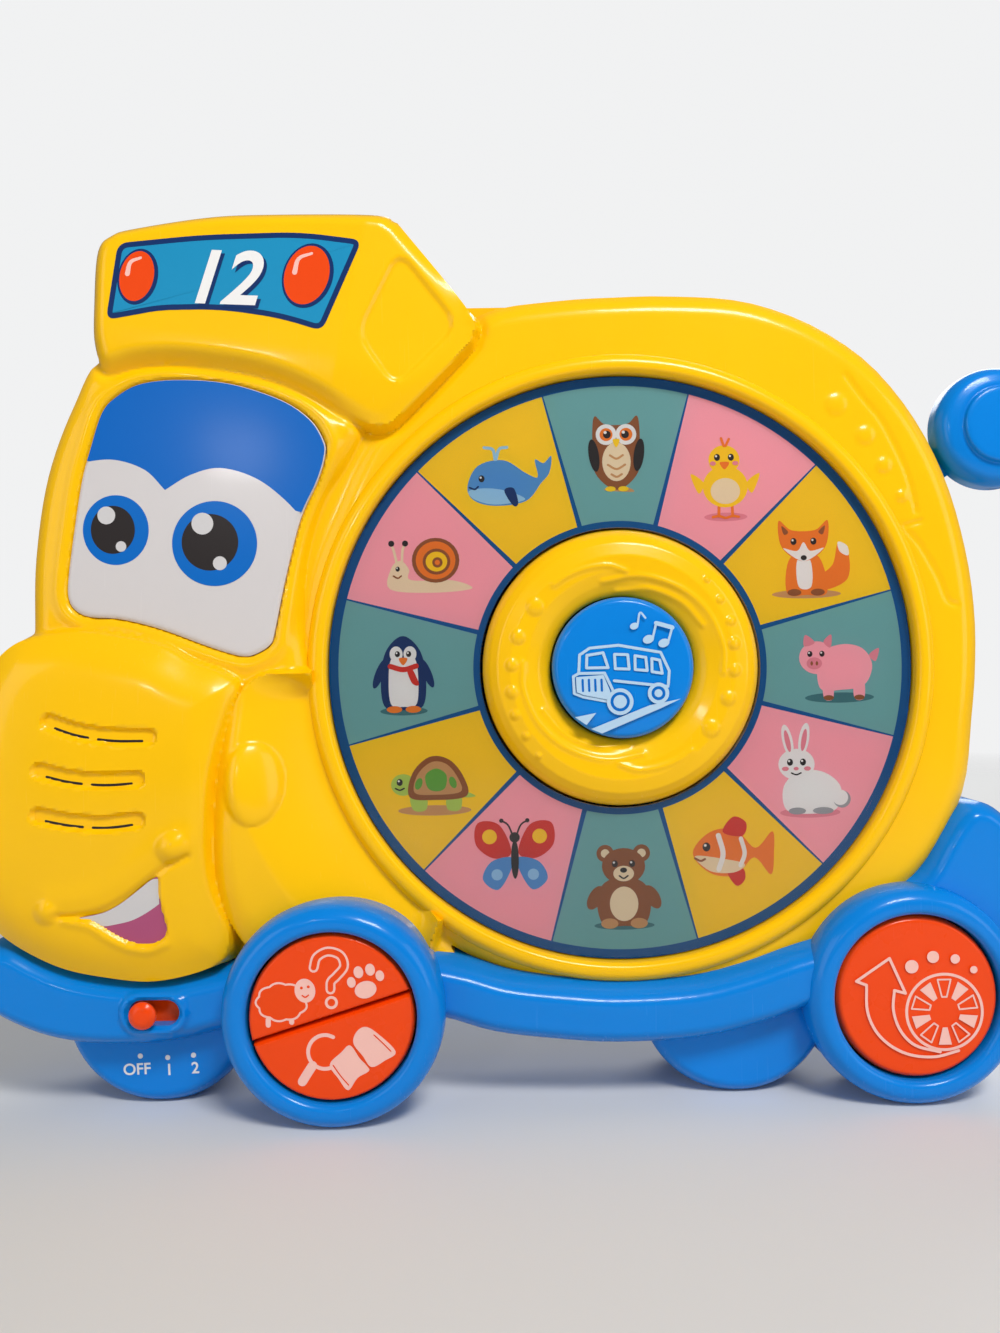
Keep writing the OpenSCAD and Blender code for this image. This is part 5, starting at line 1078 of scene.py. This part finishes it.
for half, side in (("quiz", 1), ("story", -1)):
    pressButton(half + "Button", "nearFront", side, button["front"], 1.3, 0.0, (-82, -30, 7, 59), -22.0, half,
                (half + "_button",))
pressButton("spinButton", "nearRear", 0, button["rear"], 2.0, 0.3, (93, 144, 7, 59), -13.0, "spin",
            ("spin_button",))

# Pictograms on the buttons: a question mark, a sheep and a paw
pictogram = {"pen": 0.6, "fine": 0.42, "bold": 0.85}
quizPrint = Print(-button["front"] - button["sheet"])
question = [-60.6, 47.6, -59.6, 50.6, -56.4, 52.2, -52.8, 51, -51.8, 47.8, -54, 45, -55.6, 43.4, -55.8, 41.2]
for colour, width in (("pale", 2.9), ("lamp", 1.6)):
    quizPrint.line(colour, width, question)
for colour, r in (("pale", 1.9), ("lamp", 1.1)):
    quizPrint.dot(colour, -55.6, 37.4, r)
way = np.radians(np.arange(0, 360, 5.0))
puff = 1 + 0.09 * np.abs(np.sin(4.5 * way))
fleece = np.stack([-70 + 7.2 * puff * np.cos(way), 37.8 + 5.4 * puff * np.sin(way)], 1)
for x, z in ((-74, 31.2), (-67.2, 31.9)):
    quizPrint.line("pale", 1.5, [x, z + 1.6, x, z])
quizPrint.area("pale", fleece)
quizPrint.area("lamp", shrunk(fleece, pictogram["pen"]))
quizPrint.dot("pale", -63.2, 41.0, 3.0, 3.5, 12)
for x, z in ((-64.2, 41.8), (-62.2, 42.1)):
    quizPrint.dot("lamp", x, z, 0.42)
quizPrint.line("lamp", pictogram["fine"], [-64, 39.6, -63.1, 39.1, -62.2, 39.7])
quizPrint.dot("pale", -45.6, 41, 3.2, 2.5, 14)
for x, z, r in ((-49.7, 43.2, 1.25), (-47.6, 46.1, 1.4), (-44.2, 46.8, 1.4), (-41.4, 45, 1.25)):
    quizPrint.dot("pale", x, z, r, r * 1.25, 10)
quizPrint.build("quizPrint", "quiz", "orange_plastic")

# A magnifier and an open book
storyPrint = Print(-button["front"] - button["sheet"])
storyPrint.line("pale", 1.1, onArc(-57.7, 23.1, 4.9, np.radians(np.arange(60, 330, 18))))
storyPrint.line("pale", 2.7, [-61.4, 19.2, -63, 16.8, -64.4, 14.6])
for page in (
        [-50.4, 24.9, -53, 22.9, -56.4, 19.4, -54, 15.4, -51.2, 11.9, -48.4, 15.4, -44.9, 17.7, -47.6, 21],
        [-49.4, 25.4, -48.6, 28.6, -46, 30.2, -42.6, 28.4, -37.2, 22.9, -40.4, 20.3, -44.3, 18.5, -46.8, 21.8]):
    storyPrint.area("pale", curveThrough(page, 5))
for width, fold in ((0.5, [-49.8, 25.2, -47.2, 21.3, -44.6, 18]), (0.35, [-55.4, 19.2, -53.2, 16, -51, 13.4]),
                    (0.35, [-43.4, 27.8, -40.9, 25.4, -38.6, 23])):
    storyPrint.line("lamp", width, fold)
storyPrint.build("storyPrint", "story", "orange_plastic")

# A spoked wheel with a curved arrow and four dots
spinPrint = Print(-button["rear"] - button["sheet"])
wx, wz = 126.1, 28.4
bold = pictogram["bold"]
spinPrint.line("pale", bold, onArc(wx, wz, 11.3, np.radians(np.arange(0, 360, 20))), closed=True)
for k in range(10):
    turns = math.radians(18 + 36 * k) + np.array([-0.16, -0.2, 0.2, 0.16])
    wedge = onArc(wx, wz, np.array([4.6, 9.9, 9.9, 4.6]), turns)
    if k % 2:
        spinPrint.area("pale", wedge)
    else:
        spinPrint.edges("pale", 0.5, np.vstack([wedge, wedge[:1]]))
spinPrint.edges("pale", bold, [102.8, 36.9, 99.8, 38.1, 109.8, 44.8, 114.4, 34.3, 111.1, 35.2])
for side in ([111.1, 35.2, 110.7, 29.3, 112.7, 23.2, 117.1, 18.7, 124.5, 16.6],
             [102.8, 36.9, 102.9, 29.4, 105.2, 23.4, 109.6, 18.8, 115.6, 15.9, 123, 15.2, 130, 16.9]):
    spinPrint.line("pale", bold, side)
for spot in ((116.4, 42.2, 2.0), (122.8, 45, 1.8), (129.4, 44.3, 1.4), (134.9, 41, 1.1)):
    spinPrint.dot("pale", *spot)
spinPrint.build("spinPrint", "spin", "orange_plastic")

# A small bus on a road, with notes
musicPrint = Print(-20.04)
busLines = (
    [17.2, 128.2, 17.6, 134.4, 21, 136.6, 30.6, 137.4, 44.6, 134.8, 47.4, 128.6, 47, 124],
    [17.2, 128.2, 15.4, 127.2, 15.6, 121.6, 18.4, 120.4],
    [17.2, 128.2, 25.8, 128.2, 28.6, 122.2, 28.2, 118.4],
    [18.4, 120.4, 28.2, 118.4, 34.6, 117.4],
    [19.8, 130, 20, 134.2, 25.4, 135, 27, 130, 19.8, 130],
    [29.4, 129.6, 29.2, 134.4, 33.6, 134.2, 34, 129.4, 29.4, 129.6],
    [36, 129.2, 36, 133.8, 39.6, 133.2, 40, 128.8, 36, 129.2],
    [41.6, 128.4, 41.6, 132.8, 44.2, 132.2, 45, 127.8, 41.6, 128.4],
    [29, 125.6, 46.8, 123.4])


def lifted(points):
    # the bus drawing is scaled about its middle and moved up
    return (31, 128.6) + 0.9 * (paired(points) - (31, 125))


for points in busLines:
    musicPrint.edges("mist", bold, lifted(points))
musicPrint.area("mist", lifted([16.2, 127, 25.4, 127.6, 27.6, 122, 27.2, 119.2, 18.6, 121, 16.4, 122]))
for k in range(4):
    musicPrint.line("iris", 0.7, lifted([18.4 + 2.1 * k, 126, 18.5 + 2.1 * k, 122.4]))
for x, z, r in ((30.8, 118.6, 4.0), (43.6, 121.2, 3.2)):
    for colour, less in (("mist", 0), ("iris", 1.1), ("mist", 2.0)):
        musicPrint.dot(colour, *lifted([x, z])[0], r - less)
musicPrint.area("mist", [17.2, 118.4, 23.6, 119.6, 20.6, 116])
musicPrint.area("mist", [22, 114.8, 25.2, 113.4, 42.8, 120.6, 49, 123.4, 39.6, 121.6])
for x, z in ((39.6, 141.4), (44.2, 140.2)):
    musicPrint.dot("mist", x, z, 1.7, 1.25, 20)
for width, stem in ((0.7, [40.9, 141.8, 42, 146.2]), (0.7, [45.5, 140.6, 46.8, 144.8]),
                    (1.3, [42, 146.2, 46.8, 144.8])):
    musicPrint.line("mist", width, stem)
musicPrint.dot("mist", 35.4, 145.4, 1.3, 1.0, 20)
musicPrint.line("mist", 0.6, [36.4, 145.8, 37.2, 149.4, 38.8, 147.8])
musicPrint.build("musicPrint", "music", "blue_plastic")

# Switch marks on the far front wheel
marks = {"size": 4.9, "dot": 0.8, "words": ((-119.7, 11.0, "OFF"), (-109.7, 10.7, "1"), (-101.6, 11.1, "2")),
         "dots": ((-118.6, 15.2), (-110.1, 14.6), (-102.1, 15.2))}
markPrint = Print(-10.03)
for x, z, word in marks["words"]:
    markPrint.words("white", word, x, z, marks["size"], 2.0)
for x, z in marks["dots"]:
    markPrint.dot("white", x, z, marks["dot"])
markPrint.build("switchMarks", "housing", "blue_plastic")
print("buttons printed")

# Slide switch: mushroom knob on a slider plate with a pin behind it
knob = {"x": -113.2, "z": 31.9, "slider": (-126.0, -102.8, -16.2, -15.0, 28.0, 36.0),
        "pin": (-115.9, -112.9, -15.0, -13.1, 31.0, 33.0)}


def slab(x0, x1, y0, y1, z0, z1):
    # box between two corners
    p = np.array([(x, y, z) for x in (x0, x1) for y in (y0, y1) for z in (z0, z1)], float)
    return p, [(0, 4, 5, 1), (2, 3, 7, 6), (0, 2, 6, 4), (1, 5, 7, 3), (0, 1, 3, 2), (4, 6, 7, 5)]


profile = rounded([0, -24.4, 2.4, -24.3, 4.1, -23.0, 4.1, -22.2, 3.7, -21.9, 1.8, -21.8, 1.8, -17.3, 0, -17.3],
                  [0, 1.6, 1.0, 0.3, 0.2, 0, 0, 0], 6)
parts = [turned(knob["x"], knob["z"], profile, 64), slab(*knob["slider"]), slab(*knob["pin"])]
finishMesh("switchKnob", *merged(parts), "switch", "orange_plastic", ("switch_knob",))

# Stepped lever knob
lever = {"angle": 31.6, "reach": 138.98}
knobX, knobZ = onArc(discX, discZ, lever["reach"], np.radians([lever["angle"]]))[0]
profile = rounded([0, -14.2, 10.2, -14.2, 11.4, -13.9, 11.8, -12.3, 13.2, -12.3, 16.6, -11.4, 18.6, -8.2,
                   18.6, -5, 0, -5], [0, 0.8, 0.5, 0.5, 1.2, 2.4, 2.4, 0, 0], 6)
finishMesh("leverKnob", *turned(knobX, knobZ, profile, 160), "lever", "blue_plastic", ("lever_knob",))
print("details made")

# Floor, world, lamps and camera
stage = {"floor": (0.7, 0.7, 0.69), "world": (0.93, 0.94, 0.95, 1), "worldLevel": 0.2,
         "seen": (0.88, 0.885, 0.89, 1), "fadeFrom": 0.45, "fadeTo": 1.3, "size": 4}
scene = bpy.context.scene
mesh = bpy.data.meshes.new("floor")
signs = ((-1, -1), (1, -1), (1, 1), (-1, 1))
mesh.from_pydata([(stage["size"] * x, stage["size"] * y, 0) for x, y in signs], [], [(0, 1, 2, 3)])
g = Graph("floorPaint", Roughness=0.8)
g.toned(g.noise(3.0), stage["floor"], 0.985, 1.015)
far = g.add("ShaderNodeVectorMath", {"operation": "LENGTH"}, g.place(), output=1)
g.feed(Alpha=1 - g.ramp(far, stage["fadeFrom"], stage["fadeTo"]))
mesh.materials.append(g.material)
floor = bpy.data.objects.new("floor", mesh)
scene.collection.objects.link(floor)

world = bpy.data.worlds.new("studio")
scene.world = world
world.use_nodes = True
made, links = world.node_tree.nodes, world.node_tree.links
chooser = made.new("ShaderNodeMixShader")
links.new(made.new("ShaderNodeLightPath").outputs["Is Camera Ray"], chooser.inputs[0])
for k, node, colour, level in ((1, made["Background"], stage["world"], stage["worldLevel"]),
                               (2, made.new("ShaderNodeBackground"), stage["seen"], 1.0)):
    node.inputs[0].default_value = colour
    node.inputs[1].default_value = level
    links.new(node.outputs[0], chooser.inputs[k])
links.new(chooser.outputs[0], next(n for n in made if n.type == "OUTPUT_WORLD").inputs[0])

lamps = {  # place, aim, width and height in metres, and power in watts
    "keyLamp": ((0.3, -0.72, 0.95), (0, 0, 0.13), (0.35, 0.25), 9.4),
    "fillLamp": ((-0.95, -0.75, 0.35), (0, 0, 0.12), (0.6, 0.9), 2.8),
    "sideLamp": ((1.0, -0.6, 0.4), (0, 0, 0.12), (0.5, 0.8), 2.4),
    "spotLamp": ((-0.275, -0.77, 0.367), (-0.08, 0, 0.2), (0.06, 0.05), 0.3),
    "backLamp": ((0.3, 0.9, 0.7), (0, 0, 0.13), (0.8, 0.6), 6.0),
}
for name, (where, target, size, power) in lamps.items():
    lamp = bpy.data.lights.new(name, "AREA")
    lamp.shape = "RECTANGLE"
    lamp.size, lamp.size_y = size
    lamp.energy = power
    obj = bpy.data.objects.new(name, lamp)
    scene.collection.objects.link(obj)
    obj.location = where
    obj.rotation_euler = (Vector(target) - Vector(where)).to_track_quat("-Z", "Y").to_euler()

view = {"lens": 27.0, "sensor": 36.0, "place": (-0.005, -0.320, 0.134), "roll": 1.0}
camera = bpy.data.cameras.new("camera")
camera.lens = view["lens"]
camera.sensor_width = view["sensor"]
camera.clip_start = 0.01
cameraObject = bpy.data.objects.new("camera", camera)
scene.collection.objects.link(cameraObject)
cameraObject.location = view["place"]
cameraObject.rotation_euler = (math.radians(90), math.radians(view["roll"]), 0)
scene.camera = cameraObject
scene.view_settings.view_transform = "Standard"
print("stage set")
